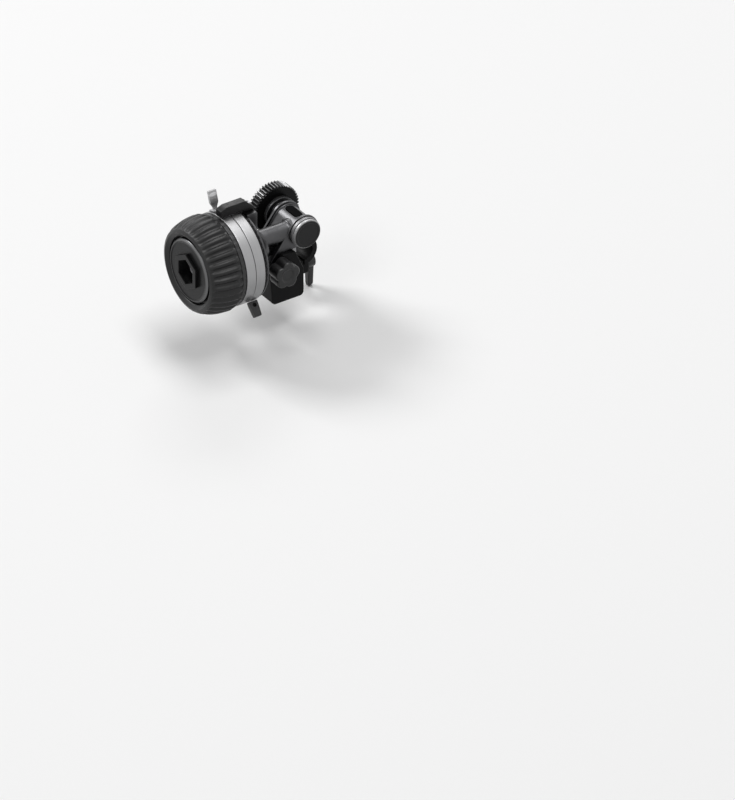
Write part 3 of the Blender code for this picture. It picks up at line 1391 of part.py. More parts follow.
def make_stop_a(wheel, ring):
    """Foot and thumb lever of the front stop; the lever turns about its own stem."""
    middle = STOP_RING_WIDTH / 2
    frame = axis_frame("stop_a_axis", (0, 0, 0), (0, 0, 1), (1, 0, 0))
    frame.parent = wheel
    stand = Matrix.Rotation(STOP_A_ANGLE, 4, "Z") @ Matrix.Translation((STOP_RING_RADIUS, 0, middle))
    frame.matrix_basis = stand @ look_along((1, 0, 0), (0, 0, 1))
    bore = bore_radius(LEVER_STEM_RADIUS, SMALL_STEPS)
    hole = prism(circle(bore, SMALL_STEPS), -LEVER_HEIGHT / 2, LEVER_NECK_HEIGHT)
    hole_tool = tool("stop_a_hole", hole, frame)
    foot = prism(
        box_outline(-FOOT_LENGTH / 2, FOOT_LENGTH / 2, -FOOT_WIDTH / 2, FOOT_WIDTH / 2),
        SEAT,
        FOOT_HEIGHT,
    )
    foot_item = add("stop_a_foot", foot, "silver", frame)
    soften(foot_item, SEAT, segments=1)
    cut(foot_item, hole_tool)
    cut(ring, hole_tool)
    neck_start = FOOT_HEIGHT + SEAT
    wide = LEVER_WIDTH / 2
    neck = LEVER_NECK_RADIUS
    top = LEVER_HEIGHT
    paddle = [
        (neck, neck_start),
        (neck, neck_start + LEVER_NECK_HEIGHT / 2),
        (wide, neck_start + LEVER_NECK_HEIGHT * 2),
        (wide, top - neck / 3),
        (wide - neck / 3, top),
        (-wide + neck / 3, top),
        (-wide, top - neck / 3),
        (-wide, neck_start + LEVER_NECK_HEIGHT * 2),
        (-neck, neck_start + LEVER_NECK_HEIGHT / 2),
        (-neck, neck_start),
    ]
    blade = prism([(along, -rise) for along, rise in paddle], -LEVER_THICKNESS / 2, LEVER_THICKNESS / 2)
    blade.transform(look_along((0, 1, 0), (1, 0, 0)))
    lever = add("stop_a_lever", blade, "silver", frame)
    soften(lever, SEAT, segments=1)
    stem_foot = SLEEVE_RADIUS - STOP_RING_RADIUS + 2 * SEAT
    stem = prism(circle(LEVER_STEM_RADIUS, SMALL_STEPS), stem_foot, neck_start + neck)
    join(lever, tool("stop_a_stem", stem, frame))
    low, high = (share * LEVER_HEIGHT for share in LEVER_DIMPLE_SHARES)
    for side in (-1, 1):
        deep = side * (LEVER_THICKNESS / 2 - LEVER_DIMPLE_DEPTH)
        out = side * (LEVER_THICKNESS / 2 + OVERRUN)
        outline = box_outline(-wide + neck / 2, wide - neck / 2, low, high)
        dimple = prism(outline, min(deep, out), max(deep, out))
        dimple.transform(Matrix.Rotation(math.pi / 2, 4, "X") @ Matrix.Scale(-1, 4, (0, 0, 1)))
        bmesh.ops.recalc_face_normals(dimple, faces=dimple.faces)
        cut(lever, tool(f"dimple_{side}", dimple, frame))


def make_stop_b(wheel, ring):
    """Black tab of the rear stop with its small set screw."""
    middle = STOP_RING_WIDTH * 3 / 2 + SEAT
    frame = axis_frame("stop_b_axis", (0, 0, 0), (0, 0, 1), (1, 0, 0))
    frame.parent = wheel
    stand = Matrix.Rotation(STOP_B_ANGLE, 4, "Z") @ Matrix.Translation((STOP_RING_RADIUS, 0, middle))
    frame.matrix_basis = stand @ look_along((1, 0, 0), (0, 0, 1))
    wide = TAB_WIDTH / 2
    tip = wide * TAB_TIP_SHARE
    edge = TAB_THICKNESS / 3
    outline = [
        (wide, SEAT),
        (wide, TAB_SCREW_RISE),
        (tip, TAB_HEIGHT - edge),
        (tip - edge, TAB_HEIGHT),
        (-tip + edge, TAB_HEIGHT),
        (-tip, TAB_HEIGHT - edge),
        (-wide, TAB_SCREW_RISE),
        (-wide, SEAT),
    ]
    blade = prism([(along, -rise) for along, rise in outline], -TAB_THICKNESS / 2, TAB_THICKNESS / 2)
    blade.transform(look_along((0, 1, 0), (1, 0, 0)))
    tab = add("stop_b_tab", blade, "black", frame)
    soften(tab, BLOCK_EDGE, segments=2)
    place = Matrix.Translation((0, TAB_THICKNESS / 2, TAB_SCREW_RISE)) @ Matrix.Rotation(-math.pi / 2, 4, "X")
    well = prism(circle(TAB_SCREW_RADIUS + SEAT, SMALL_STEPS), -TAB_THICKNESS * 2 / 3, OVERRUN)
    well.transform(place)
    cut(tab, tool("tab_well", well, frame))
    plug = add(
        "stop_b_screw",
        turned(rod_profile(-TAB_THICKNESS * 2 / 3 + SEAT, -2 * SEAT, TAB_SCREW_RADIUS), SMALL_STEPS, False),
        "steel",
        frame,
    )
    plug.data.transform(place)


def main():
    for item in list(bpy.data.objects):
        bpy.data.objects.remove(item, do_unlink=True)
    wheel = axis_frame("wheel_axis", (WHEEL_X, WHEEL_Y, AXIS_RISE), (1, 0, 0), (0, 0, 1))
    lay = axis_frame("layshaft_axis", (WHEEL_X, WHEEL_Y, GEAR_Z), (1, 0, 0), (0, 0, 1))
    output = axis_frame("output_axis", (GEAR_X, WHEEL_Y, GEAR_Z), (0, 1, 0), (1, 0, 0))
    knob_x = GEAR_X - KNOB_REACH
    knob = axis_frame("knob_axis", (knob_x, WHEEL_Y, AXIS_RISE - RAIL_DROP), (0, 1, 0), (1, 0, 0))
    clamp_y = WHEEL_Y + CLAMP_FRONT + CLAMP_LENGTH / 2
    clamp = axis_frame("clamp_axis", (0, clamp_y, -CLAMP_SCREW_DROP), (1, 0, 0), (0, 0, 1))

    make_grip(wheel)
    make_core(wheel)
    make_toothed_ring("front_tooth_ring", wheel, -BAND_WIDTH - SEAT, BAND_WIDTH, SLEEVE_RADIUS + SEAT)
    make_hub(wheel)
    make_hub_bolt(wheel)
    make_wheel_shaft(wheel)
    ring_start = make_ring_gear(wheel)
    front_ring = make_stop_ring("stop_ring_a", wheel, 0)
    rear_ring = make_stop_ring("stop_ring_b", wheel, STOP_RING_WIDTH + SEAT)
    make_stop_a(wheel, front_ring)
    make_stop_b(wheel, rear_ring)

    rear_bush_end = make_layshaft(lay, ring_start) - SEAT
    bush_start = FLANGE_START + CAVITY_DEPTH + SEAT
    make_bush(
        "layshaft_bush_front", lay, bush_start, LAYSHAFT_BUSH_LENGTH, LAYSHAFT_RADIUS, LAYSHAFT_BUSH_RADIUS
    )
    make_bush(
        "layshaft_bush_rear",
        lay,
        rear_bush_end - LAYSHAFT_BUSH_LENGTH,
        LAYSHAFT_BUSH_LENGTH,
        LAYSHAFT_RADIUS,
        LAYSHAFT_BUSH_RADIUS,
    )

    plate_places = make_bearing_plate(wheel)
    make_toothed_ring("rear_tooth_ring", wheel, REAR_BAND_START, PLATE_THICKNESS, PLATE_RADIUS + SEAT)
    housing, spigot_end = make_housing(wheel, lay, output)
    hollow_housing(housing, wheel, lay, output, spigot_end, plate_places)
    make_inlay(output, housing)
    make_pointer(wheel, housing)
    make_end_cap(output)
    make_output_bushes(output)
    make_drive(output)

    block, groove_floor, pad_start = make_block(output, knob)
    make_block_screws(output, block, housing)
    make_knob(knob, pad_start)
    make_mount(output, clamp, groove_floor)
    make_clamp_lever(clamp)


main()
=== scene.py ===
"""Looks of the lens follow focus: fine shapes, finishes and a small studio."""
import json
import math

import bmesh
import bpy
from bpy.props import FloatProperty, FloatVectorProperty, IntProperty, PointerProperty
from bpy.types import Operator, Panel, PropertyGroup
from mathutils import Matrix, Vector


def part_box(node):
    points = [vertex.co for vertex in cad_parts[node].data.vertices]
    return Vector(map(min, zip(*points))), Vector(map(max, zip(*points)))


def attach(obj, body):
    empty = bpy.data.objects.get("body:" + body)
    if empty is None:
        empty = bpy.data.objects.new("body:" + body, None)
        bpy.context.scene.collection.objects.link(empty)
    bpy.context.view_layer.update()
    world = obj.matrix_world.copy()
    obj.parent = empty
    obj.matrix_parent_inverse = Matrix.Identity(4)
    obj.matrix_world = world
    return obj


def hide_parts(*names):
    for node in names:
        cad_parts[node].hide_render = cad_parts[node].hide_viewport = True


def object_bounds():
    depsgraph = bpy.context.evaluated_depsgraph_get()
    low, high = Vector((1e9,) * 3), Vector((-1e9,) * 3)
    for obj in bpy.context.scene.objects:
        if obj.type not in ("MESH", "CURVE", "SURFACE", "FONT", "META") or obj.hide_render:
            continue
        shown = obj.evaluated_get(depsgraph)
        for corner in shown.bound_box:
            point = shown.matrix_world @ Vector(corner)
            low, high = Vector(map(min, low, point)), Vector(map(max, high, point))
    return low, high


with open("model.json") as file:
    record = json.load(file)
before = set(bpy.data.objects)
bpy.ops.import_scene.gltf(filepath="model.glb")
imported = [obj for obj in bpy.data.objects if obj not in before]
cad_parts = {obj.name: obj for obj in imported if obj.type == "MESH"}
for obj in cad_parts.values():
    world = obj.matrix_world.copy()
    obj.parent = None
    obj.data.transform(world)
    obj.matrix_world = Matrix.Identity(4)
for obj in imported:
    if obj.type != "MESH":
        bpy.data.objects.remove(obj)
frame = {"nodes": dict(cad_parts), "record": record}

bl_info = {
    "name": "Lens Follow Focus",
    "version": (1, 0, 0),
    "blender": (4, 5, 0),
    "location": "3D View > Sidebar > Follow Focus",
    "description": "Builds the fine shapes, the finishes and the studio of a lens follow focus",
    "category": "Object",
}

CAD_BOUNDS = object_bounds()
MM = 0.001

# Where the axes lie, from the middle of the rod bore
ROD_REACH = 17.2 * MM
GEAR_REACH = 66.1 * MM
AXIS_RISE = 32.0 * MM
CLAMP_SETBACK = 28.0 * MM
DRIVE_LIFT = 4.5 * MM
WHEEL_X = -(GEAR_REACH + ROD_REACH)
WHEEL_Y = -CLAMP_SETBACK
GEAR_Z = AXIS_RISE + DRIVE_LIFT

# Gaps between seated pieces and past a cut, and how finely round shapes are made
SEAT = 0.3 * MM
RUN = 0.05 * MM
OVERRUN = 1.0 * MM
WELD = 0.0005 * MM
LARGE_STEPS = 180
MEDIUM_STEPS = 96
SMALL_STEPS = 48
CURVE_STEPS = 4
HEX_SIDES = 6
HEX_STEPS = 8
NUT_STEPS = 12
# The largest share of a side that one rounded corner takes
EDGE_LIMIT = 0.45
# Angles between faces above which an edge is softened, or stays crisp
SOFT_ANGLE = math.radians(40)
CRISP_ANGLE = math.radians(32)
CAST_ANGLE = math.radians(28)
TOOTH_ANGLE = math.radians(24)
SMOOTH_ANGLE = math.radians(50)

# Handwheel
GRIP_START = -3.6 * MM
GRIP_LIP_DEPTH = 4.6 * MM
GRIP_LIP_EDGE = 2.2 * MM
GRIP_LIP_ROLL = 0.7 * MM
GRIP_LIP_RADIUS = 25.6 * MM
GRIP_REAR_EDGE = 0.5 * MM
GRIP_OUTER_SHARES = (
    (0.0, 0.965, 0.1),
    (0.09, 0.988, 0.9),
    (0.18, 1.0, 1.0),
    (0.45, 0.985, 1.0),
    (0.68, 0.95, 1.0),
    (0.84, 0.908, 0.9),
    (0.93, 0.872, 0.3),
    (0.965, 0.85, 0.0),
    (1.0, 0.79, 0.0),
)
RIB_CREST_SHARE = 0.08
RIB_FLOOR_SHARE = 0.42
RIB_STEPS = 16
SLEEVE_RADIUS = 29.5 * MM
BAND_RADIUS = 34.5 * MM
BAND_WIDTH = 3.0 * MM
BAND_TOOTH = 0.7 * MM
FRONT_TOOTH = 0.2 * MM
BAND_EDGE = 0.3 * MM
BAND_CREST_SHARE = 0.2
BAND_FLOOR_SHARE = 0.3
BAND_STEPS = 10
STOP_RING_RADIUS = 35.0 * MM
STOP_RING_WIDTH = 7.5 * MM
STOP_RING_EDGE = 0.5 * MM
REAR_BAND_START = 15.55 * MM
REAR_BAND_WIDTH = 1.6 * MM
REAR_BAND_BORE = 25.9 * MM
HUB_RADIUS = 24.2 * MM
HUB_START = -27.0 * MM
HUB_THICKNESS = 3.7 * MM
HUB_PLUG_RADIUS = 11.9 * MM
HUB_PLUG_LENGTH = 3.7 * MM
HUB_RIM = 1.5 * MM
HEX_COLLAR_ACROSS = 25.0 * MM
HEX_COLLAR_HEIGHT = 2.6 * MM
HEX_SOCKET_ACROSS = 17.5 * MM
HEX_EDGE = 0.45 * MM
SOCKET_FLOOR = 1.2 * MM
MAGNET_RADIUS = 5.5 * MM
MAGNET_THICKNESS = 1.4 * MM

# Stops on the handwheel
STOP_A_ANGLE = math.radians(-19)
STOP_B_ANGLE = math.radians(140)
FOOT_HEIGHT = 1.8 * MM
FOOT_LENGTH = 6.8 * MM
FOOT_WIDTH = 6.0 * MM
LEVER_WIDTH = 6.8 * MM
LEVER_THICKNESS = 2.2 * MM
LEVER_HEIGHT = 16.0 * MM
LEVER_NECK_RADIUS = 1.5 * MM
LEVER_NECK_HEIGHT = 2.4 * MM
LEVER_STEM_RADIUS = 1.2 * MM
LEVER_DIMPLE_DEPTH = 0.5 * MM
LEVER_DIMPLE_SHARES = (0.62, 0.84)
LEVER_EDGE = 0.35 * MM
TAB_WIDTH = 7.0 * MM
TAB_THICKNESS = 4.4 * MM
TAB_HEIGHT = 12.0 * MM
TAB_TIP_SHARE = 0.8
TAB_EDGE = 0.8 * MM
TAB_SCREW_RADIUS = 1.3 * MM
TAB_SCREW_RISE = 3.4 * MM

# Casting
FLANGE_START = 17.45 * MM
FLANGE_RADIUS = 33.5 * MM
FLANGE_THICKNESS = 2.2 * MM
FLANGE_EDGE = 0.6 * MM
FLARE_RADIUS = 30.0 * MM
DRUM_RADIUS = 11.4 * MM
DRUM_END = 34.05 * MM
FLARE_SHARES = ((0.0, 1.0), (0.16, 0.78), (0.36, 0.5), (0.6, 0.23), (0.8, 0.08), (1.0, 0.0))
CAVITY_RADIUS = 12.3 * MM
CAVITY_DEPTH = 7.6 * MM
BOSS_RADIUS = 7.2 * MM
BOSS_FILLET = 2.4 * MM
BORE_RADIUS = 5.9 * MM
HEAD_RADIUS = 10.4 * MM
HEAD_FILLET = 0.8 * MM
RIM_RADIUS = 12.4 * MM
RIM_THICKNESS = 2.0 * MM
RIM_EDGE = 0.4 * MM
HEAD_FRONT = 7.4 * MM
HEAD_BACK = 17.3 * MM
TAIL_SLOPE = math.radians(53.6)
HOOK_DROP = 19.3 * MM
HOOK_STRIP = 3.6 * MM
HOOK_BACK = 8.0 * MM
RIB_DROP = 21.0 * MM
RIB_HALF_THICKNESS = 2.2 * MM
RIM_BAND = 2.0 * MM
FOOT_TURN = math.radians(105)
FOOT_SHARE = 0.6
SEAT_DROP = 7.2 * MM
SPIGOT_RADIUS = 8.6 * MM
LUG_HALF_WIDTH = 8.0 * MM
LUG_LENGTH = 7.2 * MM
LUG_TOP = 34.4 * MM
LUG_EDGE = 1.2 * MM
INLAY_LENGTH = 16.0 * MM
INLAY_WIDTH = 6.6 * MM
INLAY_HEIGHT = 0.8 * MM
INLAY_MIDDLE = 4.9 * MM
INLAY_EDGE = 0.2 * MM
COLLAR_RADIUS = 11.7 * MM
COLLAR_LENGTH = 2.9 * MM
CAP_RADIUS = 11.2 * MM
CAP_LENGTH = 2.4 * MM
CAP_FACE = 1.5 * MM
CAP_EDGE = 0.9 * MM
CAP_STEP = 0.25 * MM

# Index pointer
POINTER_WIDTH = 6.4 * MM
POINTER_TOP = 43.6 * MM
POINTER_FRONT = 1.4 * MM
POINTER_LENGTH = 20.8 * MM
POINTER_SLOPE_LENGTH = 8.0 * MM
POINTER_CLEARANCE = 1.3 * MM
POINTER_NOSE = 4.8 * MM
POINTER_NOSE_DROP = 2.0 * MM
POINTER_HEEL = 1.6 * MM
POINTER_EDGE = 0.4 * MM
POINTER_SCREW_RADIUS = 1.5 * MM
POINTER_SCREW_HEAD = 2.5 * MM
POINTER_SCREW_SINK = 4.6 * MM
POINTER_SCREW_DEPTH = 5.0 * MM
NOTCH_RADIUS = 1.1 * MM
NOTCH_DEPTH = 0.5 * MM

# Drive gear and what holds it
DRIVE_MODULE = 0.8 * MM
DRIVE_WIDTH = 8.7 * MM
DRIVE_EDGE = 0.35 * MM
PRESSURE_ANGLE = math.radians(20)
DEDENDUM_SHARE = 1.25
BACKLASH = 0.05 * MM
COLLAR_STEP_RADIUS = 12.4 * MM
COLLAR_NECK_RADIUS = 9.4 * MM
GEAR_COLLAR_LENGTH = 8.7 * MM
GEAR_COLLAR_SHARES = ((0.0, 0.0), (0.38, 0.0), (0.42, 1.0), (0.78, 1.0), (0.82, 0.3), (1.0, 0.3))
GEAR_BORE = 4.3 * MM
GEAR_RECESS_RADIUS = 12.6 * MM
GEAR_RECESS_DEPTH = 2.4 * MM
WASHER_RADIUS = 7.0 * MM
WASHER_THICKNESS = 1.0 * MM
WASHER_BORE = 2.8 * MM
NUT_ACROSS = 9.0 * MM
NUT_HEIGHT = 3.2 * MM
SMALL_EDGE = 0.2 * MM

# Base block, its rail and its screws
BLOCK_LEFT = 35.5 * MM
BLOCK_TOP_LENGTH = 21.5 * MM
BLOCK_SHOULDER = 7.3 * MM
BLOCK_SHOULDER_DROP = 16.4 * MM
BLOCK_HEIGHT = 38.8 * MM
BLOCK_TAPER = 1.6 * MM
BLOCK_CORNER = 3.4 * MM
BLOCK_FRONT = 10.6 * MM
BLOCK_DEPTH = 25.2 * MM
BLOCK_EDGE = 0.8 * MM
BLOCK_SCREW_RADIUS = 1.5 * MM
BLOCK_SCREW_HEAD = 2.75 * MM
BLOCK_SCREW_HEAD_HEIGHT = 3.0 * MM
BLOCK_SCREW_GRIP = 5.0 * MM
BLOCK_SCREW_SHARE = 0.72
BLOCK_SCREW_STATIONS = (-3.0 * MM, 5.0 * MM)
RAIL_DROP = 17.4 * MM
RAIL_MOUTH = 8.0 * MM
RAIL_WIDTH = 12.0 * MM
RAIL_DEPTH = 5.0 * MM
RAIL_FOOT = 3.2 * MM
RAIL_CLEARANCE = 0.15 * MM
RAIL_START = 32.2 * MM
RAIL_LENGTH = 39.0 * MM
RAIL_SCREW_SHARES = (0.3, 0.86)
SCREW_KEY_SHARE = 0.5
LOCK_HOLE = 2.8 * MM
PAD_POCKET = 3.5 * MM
PAD_REACH = 3.25 * MM

# Lock knob
KNOB_REACH = 23.1 * MM
KNOB_RADIUS = 10.4 * MM
KNOB_VALLEY_SHARE = 0.74
KNOB_FULLNESS = 0.7
KNOB_TURN = math.radians(-82.7)
KNOB_DEPTH = 11.4 * MM
KNOB_EDGE = 1.6 * MM
KNOB_DISH_RADIUS = 5.2 * MM
KNOB_DISH_DEPTH = 0.8 * MM
KNOB_STEPS = 36
LOCK_SCREW_GRIP = 7.0 * MM

# Rod clamp
CLAMP_LENGTH = 19.6 * MM
CLAMP_FRONT = 18.2 * MM
CLAMP_RADIUS = 11.6 * MM
ROD_BORE = 7.6 * MM
ARM_THICKNESS = 5.6 * MM
ARM_HALF_HEIGHT = 8.8 * MM
ARM_FILLET = 2.0 * MM
EAR_DROP = 21.0 * MM
EAR_HALF_WIDTH = 7.0 * MM
SLIT = 1.6 * MM
CLAMP_SCREW_RADIUS = 2.5 * MM
CLAMP_SCREW_DROP = 15.6 * MM
CLAMP_SCREW_HEAD = 4.2 * MM
CLAMP_SCREW_HEAD_HEIGHT = 3.4 * MM
LEVER_HUB_RADIUS = 5.4 * MM
LEVER_HUB_LENGTH = 6.4 * MM
LEVER_ARM_LENGTH = 21.0 * MM
LEVER_ARM_WIDTH = 7.0 * MM
LEVER_ARM_TIP_SHARE = 0.66
LEVER_ARM_EDGE = 1.0 * MM

# Camera: the pixel of the rod bore's middle, and the photograph's scale and viewing angle
PHOTO_SIZE = (735, 800)
ORIGIN_PIXEL = (295.8, 245.0)
PIXELS_PER_METRE = 1411.0
VIEW_AZIMUTH = math.radians(-34.0)
VIEW_ELEVATION = math.radians(32.5)
CAMERA_DISTANCE = 16.0

# Studio: each lamp's place and size in metres, and the floor
LAMPS = {
    "key": ((-2.6, 4.6, 4.2), (2.6, 1.8)),
    "back": ((3.0, 4.7, 3.7), (3.0, 1.5)),
    "fill": ((-4.8, -2.0, 4.5), (2.0, 2.0)),
    "top": ((1.2, -0.3, 6.8), (6.0, 2.2)),
}
FLOOR_SIZE = 6.0
FLOOR_DROP = 0.5 * MM
FLOOR_ROUGHNESS = 0.9
FLOOR_SPECULAR = 0.2
FLOOR_SHADE = 0.99


def look_along(direction, side):
    """A rotation whose Z points along one direction and X along another."""
    z_axis = Vector(direction)
    x_axis = Vector(side)
    return Matrix((x_axis, z_axis.cross(x_axis), z_axis)).transposed().to_4x4()


def axis_place(place, along, up):
    """A place on a joint's axis, whose Z points along it and X up."""
    return Matrix.Translation(place) @ look_along(along, up)


WHEEL = axis_place((WHEEL_X, WHEEL_Y, AXIS_RISE), (1, 0, 0), (0, 0, 1))
LAYSHAFT = axis_place((WHEEL_X, WHEEL_Y, GEAR_Z), (1, 0, 0), (0, 0, 1))
OUTPUT = axis_place((-ROD_REACH, WHEEL_Y, GEAR_Z), (0, 1, 0), (1, 0, 0))
KNOB = axis_place((-ROD_REACH - KNOB_REACH, WHEEL_Y, AXIS_RISE - RAIL_DROP), (0, 1, 0), (1, 0, 0))
CLAMP = axis_place(
    (0, WHEEL_Y + CLAMP_FRONT + CLAMP_LENGTH / 2, -CLAMP_SCREW_DROP), (1, 0, 0), (0, 0, 1)
)

# Finishes: kind, colour, place, roughness, metallic, width and depth of the grain in mm, specular
# level, and how dark the darkest spots are
FINISHES = {
    "moulded_rubber": ("grained", "rubber", WHEEL, 0.4, 0.0, 0.22, 0.008, 0.34, 0.8),
    "satin_silver": ("lathed", "silver", WHEEL, 0.36, 1.0, 0.12, 0.003, 0.5, 0.85),
    "bright_silver": ("grained", "steel", WHEEL, 0.32, 0.4, 0.15, 0.003, 0.5, 0.9),
    "thumbed_silver": ("grained", "lever", WHEEL, 0.36, 0.8, 0.15, 0.003, 0.5, 0.9),
    "dark_casting": ("grained", "casting", OUTPUT, 0.34, 1.0, 0.18, 0.006, 0.5, 0.8),
    "black_turned": ("lathed", "black", WHEEL, 0.32, 0.0, 0.14, 0.004, 0.14, 0.85),
    "black_hub": ("lathed", "black", WHEEL, 0.32, 0.0, 0.14, 0.004, 0.14, 0.85),
    "black_cap": ("lathed", "black", OUTPUT, 0.36, 0.0, 0.2, 0.006, 0.22, 0.85),
    "grey_collar": ("lathed", "collar", OUTPUT, 0.42, 0.5, 0.14, 0.004, 0.5, 0.85),
    "black_blasted": ("grained", "black", WHEEL, 0.42, 0.0, 0.12, 0.006, 0.1, 0.8),
    "black_moulded": ("grained", "black", KNOB, 0.36, 0.0, 0.16, 0.008, 0.45, 0.8),
    "black_block": ("grained", "black", OUTPUT, 0.46, 0.0, 0.16, 0.008, 0.08, 0.8),
    "gear_black": ("lathed", "black", OUTPUT, 0.3, 0.0, 0.16, 0.004, 0.1, 0.85),
    "band_grey": ("lathed", "band", WHEEL, 0.4, 0.4, 0.14, 0.004, 0.5, 0.85),
    "black_pointer": ("grained", "black", WHEEL, 0.36, 0.0, 0.12, 0.004, 0.2, 0.8),
    "black_gloss": ("grained", "black", OUTPUT, 0.45, 0.0, 0.2, 0.002, 0.0, 0.8),
    "bright_steel": ("grained", "steel", OUTPUT, 0.42, 0.35, 0.1, 0.002, 0.5, 0.85),
    "turned_brass": ("grained", "brass", OUTPUT, 0.34, 1.0, 0.12, 0.003, 0.5, 0.85),
}
# Size of the cloudiness, where noise values mostly lie, and how far the roughness swings
CLOUD_SIZE = 6.0 * MM
NOISE_ENDS = (0.3, 0.7)
GRAIN_SWING = 0.12
LATHE_SWING = 0.25
# Lighter rings from one radius to another: radii, colour and how metallic it is. On the gear's tips
# it is bare metal and also a painted glint; on the cap's and the hub's rims it is a painted
# highlight.
BARE_AND_HIGHLIGHT_RINGS = {
    # bare metal on the tooth tips, made lighter as a painted glint too
    "gear_black": ((17.9 * MM, 18.7 * MM), (0.11, 0.11, 0.112), 1.0),
    # painted highlight on the cap's rim, a lighter diffuse grey
    "black_cap": ((CAP_RADIUS - CAP_EDGE, CAP_RADIUS - CAP_EDGE / 4), (0.42, 0.42, 0.425), 0.4),
    # painted highlight on the hub's rim
    "black_hub": ((HUB_RADIUS - 2.2 * MM, HUB_RADIUS - 1.2 * MM), (0.13, 0.13, 0.132), 1.0),
}
# Oval spots of painted light and shade: where their soft edge lies, and their middle, half size and
# colour
SPOT_EDGE = (1.0, 0.7)
# Painted highlight: a near-white spot on the lever's upper dimple
LEVER_HIGHLIGHT_SHARE = 0.82
LEVER_HIGHLIGHT_SPOT = Vector((STOP_RING_RADIUS + LEVER_HEIGHT * LEVER_HIGHLIGHT_SHARE, 0, STOP_RING_WIDTH / 2))
# Painted shade: a darker spot on the casting's lug under the pointer
LUG_SHADE_SPOT = Vector((LUG_TOP - LUG_LENGTH, 0, FLANGE_START + LUG_LENGTH / 2))
PAINTED_LIGHT_SPOTS = {
    # painted highlight on the lever
    "thumbed_silver": (
        WHEEL @ Matrix.Rotation(STOP_A_ANGLE, 4, "Z") @ LEVER_HIGHLIGHT_SPOT,
        (4.0 * MM, 4.0 * MM, 1.7 * MM),
        (0.75, 0.75, 0.76),
    ),
    # painted shade on the lug under the pointer
    "dark_casting": (WHEEL @ LUG_SHADE_SPOT, (9.0 * MM, 13.0 * MM, 13.0 * MM), (0.02, 0.02, 0.021)),
}


# Meshes


def closed(builder):
    bmesh.ops.remove_doubles(builder, verts=builder.verts, dist=WELD)
    bmesh.ops.recalc_face_normals(builder, faces=builder.faces)
    return builder


def arc(centre, radius, start, end, count):
    turns = [start + (end - start) * step / count for step in range(count + 1)]
    return [(centre[0] + radius * math.cos(t), centre[1] + radius * math.sin(t)) for t in turns]


def circle(radius, steps, centre=(0.0, 0.0)):
    return arc(centre, radius, 0.0, math.tau, steps)[:-1]


def box_outline(x_low, x_high, y_low, y_high):
    return [(x_low, y_low), (x_high, y_low), (x_high, y_high), (x_low, y_high)]


def smooth_curve(points, steps):
    """Points along a Catmull-Rom curve through the given ones."""

    def between_two(t, a, b, c, d):
        square = (2 * a - 5 * b + 4 * c - d) * t**2
        return 0.5 * (2 * b + (c - a) * t + square + (3 * b - a - 3 * c + d) * t**3)

    rows = [points[0], *points, points[-1]]
    curve = []
    for four in zip(rows, rows[1:], rows[2:], rows[3:]):
        for step in range(steps):
            curve.append(tuple(between_two(step / steps, *values) for values in zip(*four)))
    return curve + [points[-1]]


def rounded(profile, edge, loop=True, steps=4):
    """Round the corners of a (station, radius) profile; an open one keeps its ends."""
    count = len(profile)
    outline = []
    for index, point in enumerate(profile):
        here = Vector(point)
        if not loop and index in (0, count - 1):
            outline.append(tuple(here))
            continue
        before = Vector(profile[index - 1]) - here
        after = Vector(profile[(index + 1) % count]) - here
        reach = min(edge, before.length * EDGE_LIMIT, after.length * EDGE_LIMIT)
        start = here + before.normalized() * reach
        end = here + after.normalized() * reach
        for step in range(steps + 1):
            t = step / steps
            outline.append(tuple(start * (1 - t) ** 2 + here * 2 * t * (1 - t) + end * t**2))
    return outline


def turned(profile, steps, hollow=False):
    """Spin a (station, radius) outline about local Z; a solid one starts and ends on the axis."""
    builder = bmesh.new()
    corners = [builder.verts.new((radius, 0, station)) for station, radius in profile]
    sides = [builder.edges.new(pair) for pair in zip(corners, corners[1:])]
    if hollow:
        sides.append(builder.edges.new((corners[-1], corners[0])))
    bmesh.ops.spin(
        builder, geom=corners + sides, cent=(0, 0, 0), axis=(0, 0, 1), angle=math.tau, steps=steps
    )
    return closed(builder)


def rod_profile(start, end, radius):
    return [(start, 0), (start, radius), (end, radius), (end, 0)]


def tube_profile(start, end, inner, outer):
    return [(start, inner), (end, inner), (end, outer), (start, outer)]


def prism(outline, low, high):
    """Extrude a flat outline of (x, y) points from one station to another."""
    builder = bmesh.new()
    face = builder.faces.new([builder.verts.new((x, y, low)) for x, y in outline])
    grown = bmesh.ops.extrude_face_region(builder, geom=[face])
    moved = [part for part in grown["geom"] if isinstance(part, bmesh.types.BMVert)]
    bmesh.ops.translate(builder, verts=moved, vec=(0, 0, high - low))
    return closed(builder)


def bridge(builder, first, second, loop):
    """Faces between two rows of vertices, from last to first too where they are loops."""
    pairs = list(zip(range(len(first)), range(1, len(first))))
    if loop:
        pairs.append((len(first) - 1, 0))
    for here, after in pairs:
        builder.faces.new((first[here], first[after], second[after], second[here]))


def loft(rings):
    """Bridge rings of points that all have the same count, and cap both ends."""
    builder = bmesh.new()
    rows = [[builder.verts.new(point) for point in ring] for ring in rings]
    for first, second in zip(rows, rows[1:]):
        bridge(builder, first, second, True)
    builder.faces.new(rows[0])
    builder.faces.new(rows[-1])
    return closed(builder)


def sector(count, shares, section, hollow=False):
    """One of count equal sectors about local Z.

    section gives the (station, radius) outline at each share, from -0.5 to 0.5 of the sector.
    """
    builder = bmesh.new()
    rows = []
    for share in shares:
        turn = math.tau * share / count
        x, y = math.cos(turn), math.sin(turn)
        points = [(radius * x, radius * y, station) for station, radius in section(share)]
        rows.append([builder.verts.new(point) for point in points])
    for first, second in zip(rows, rows[1:]):
        bridge(builder, first, second, hollow)
    return builder


# Pieces


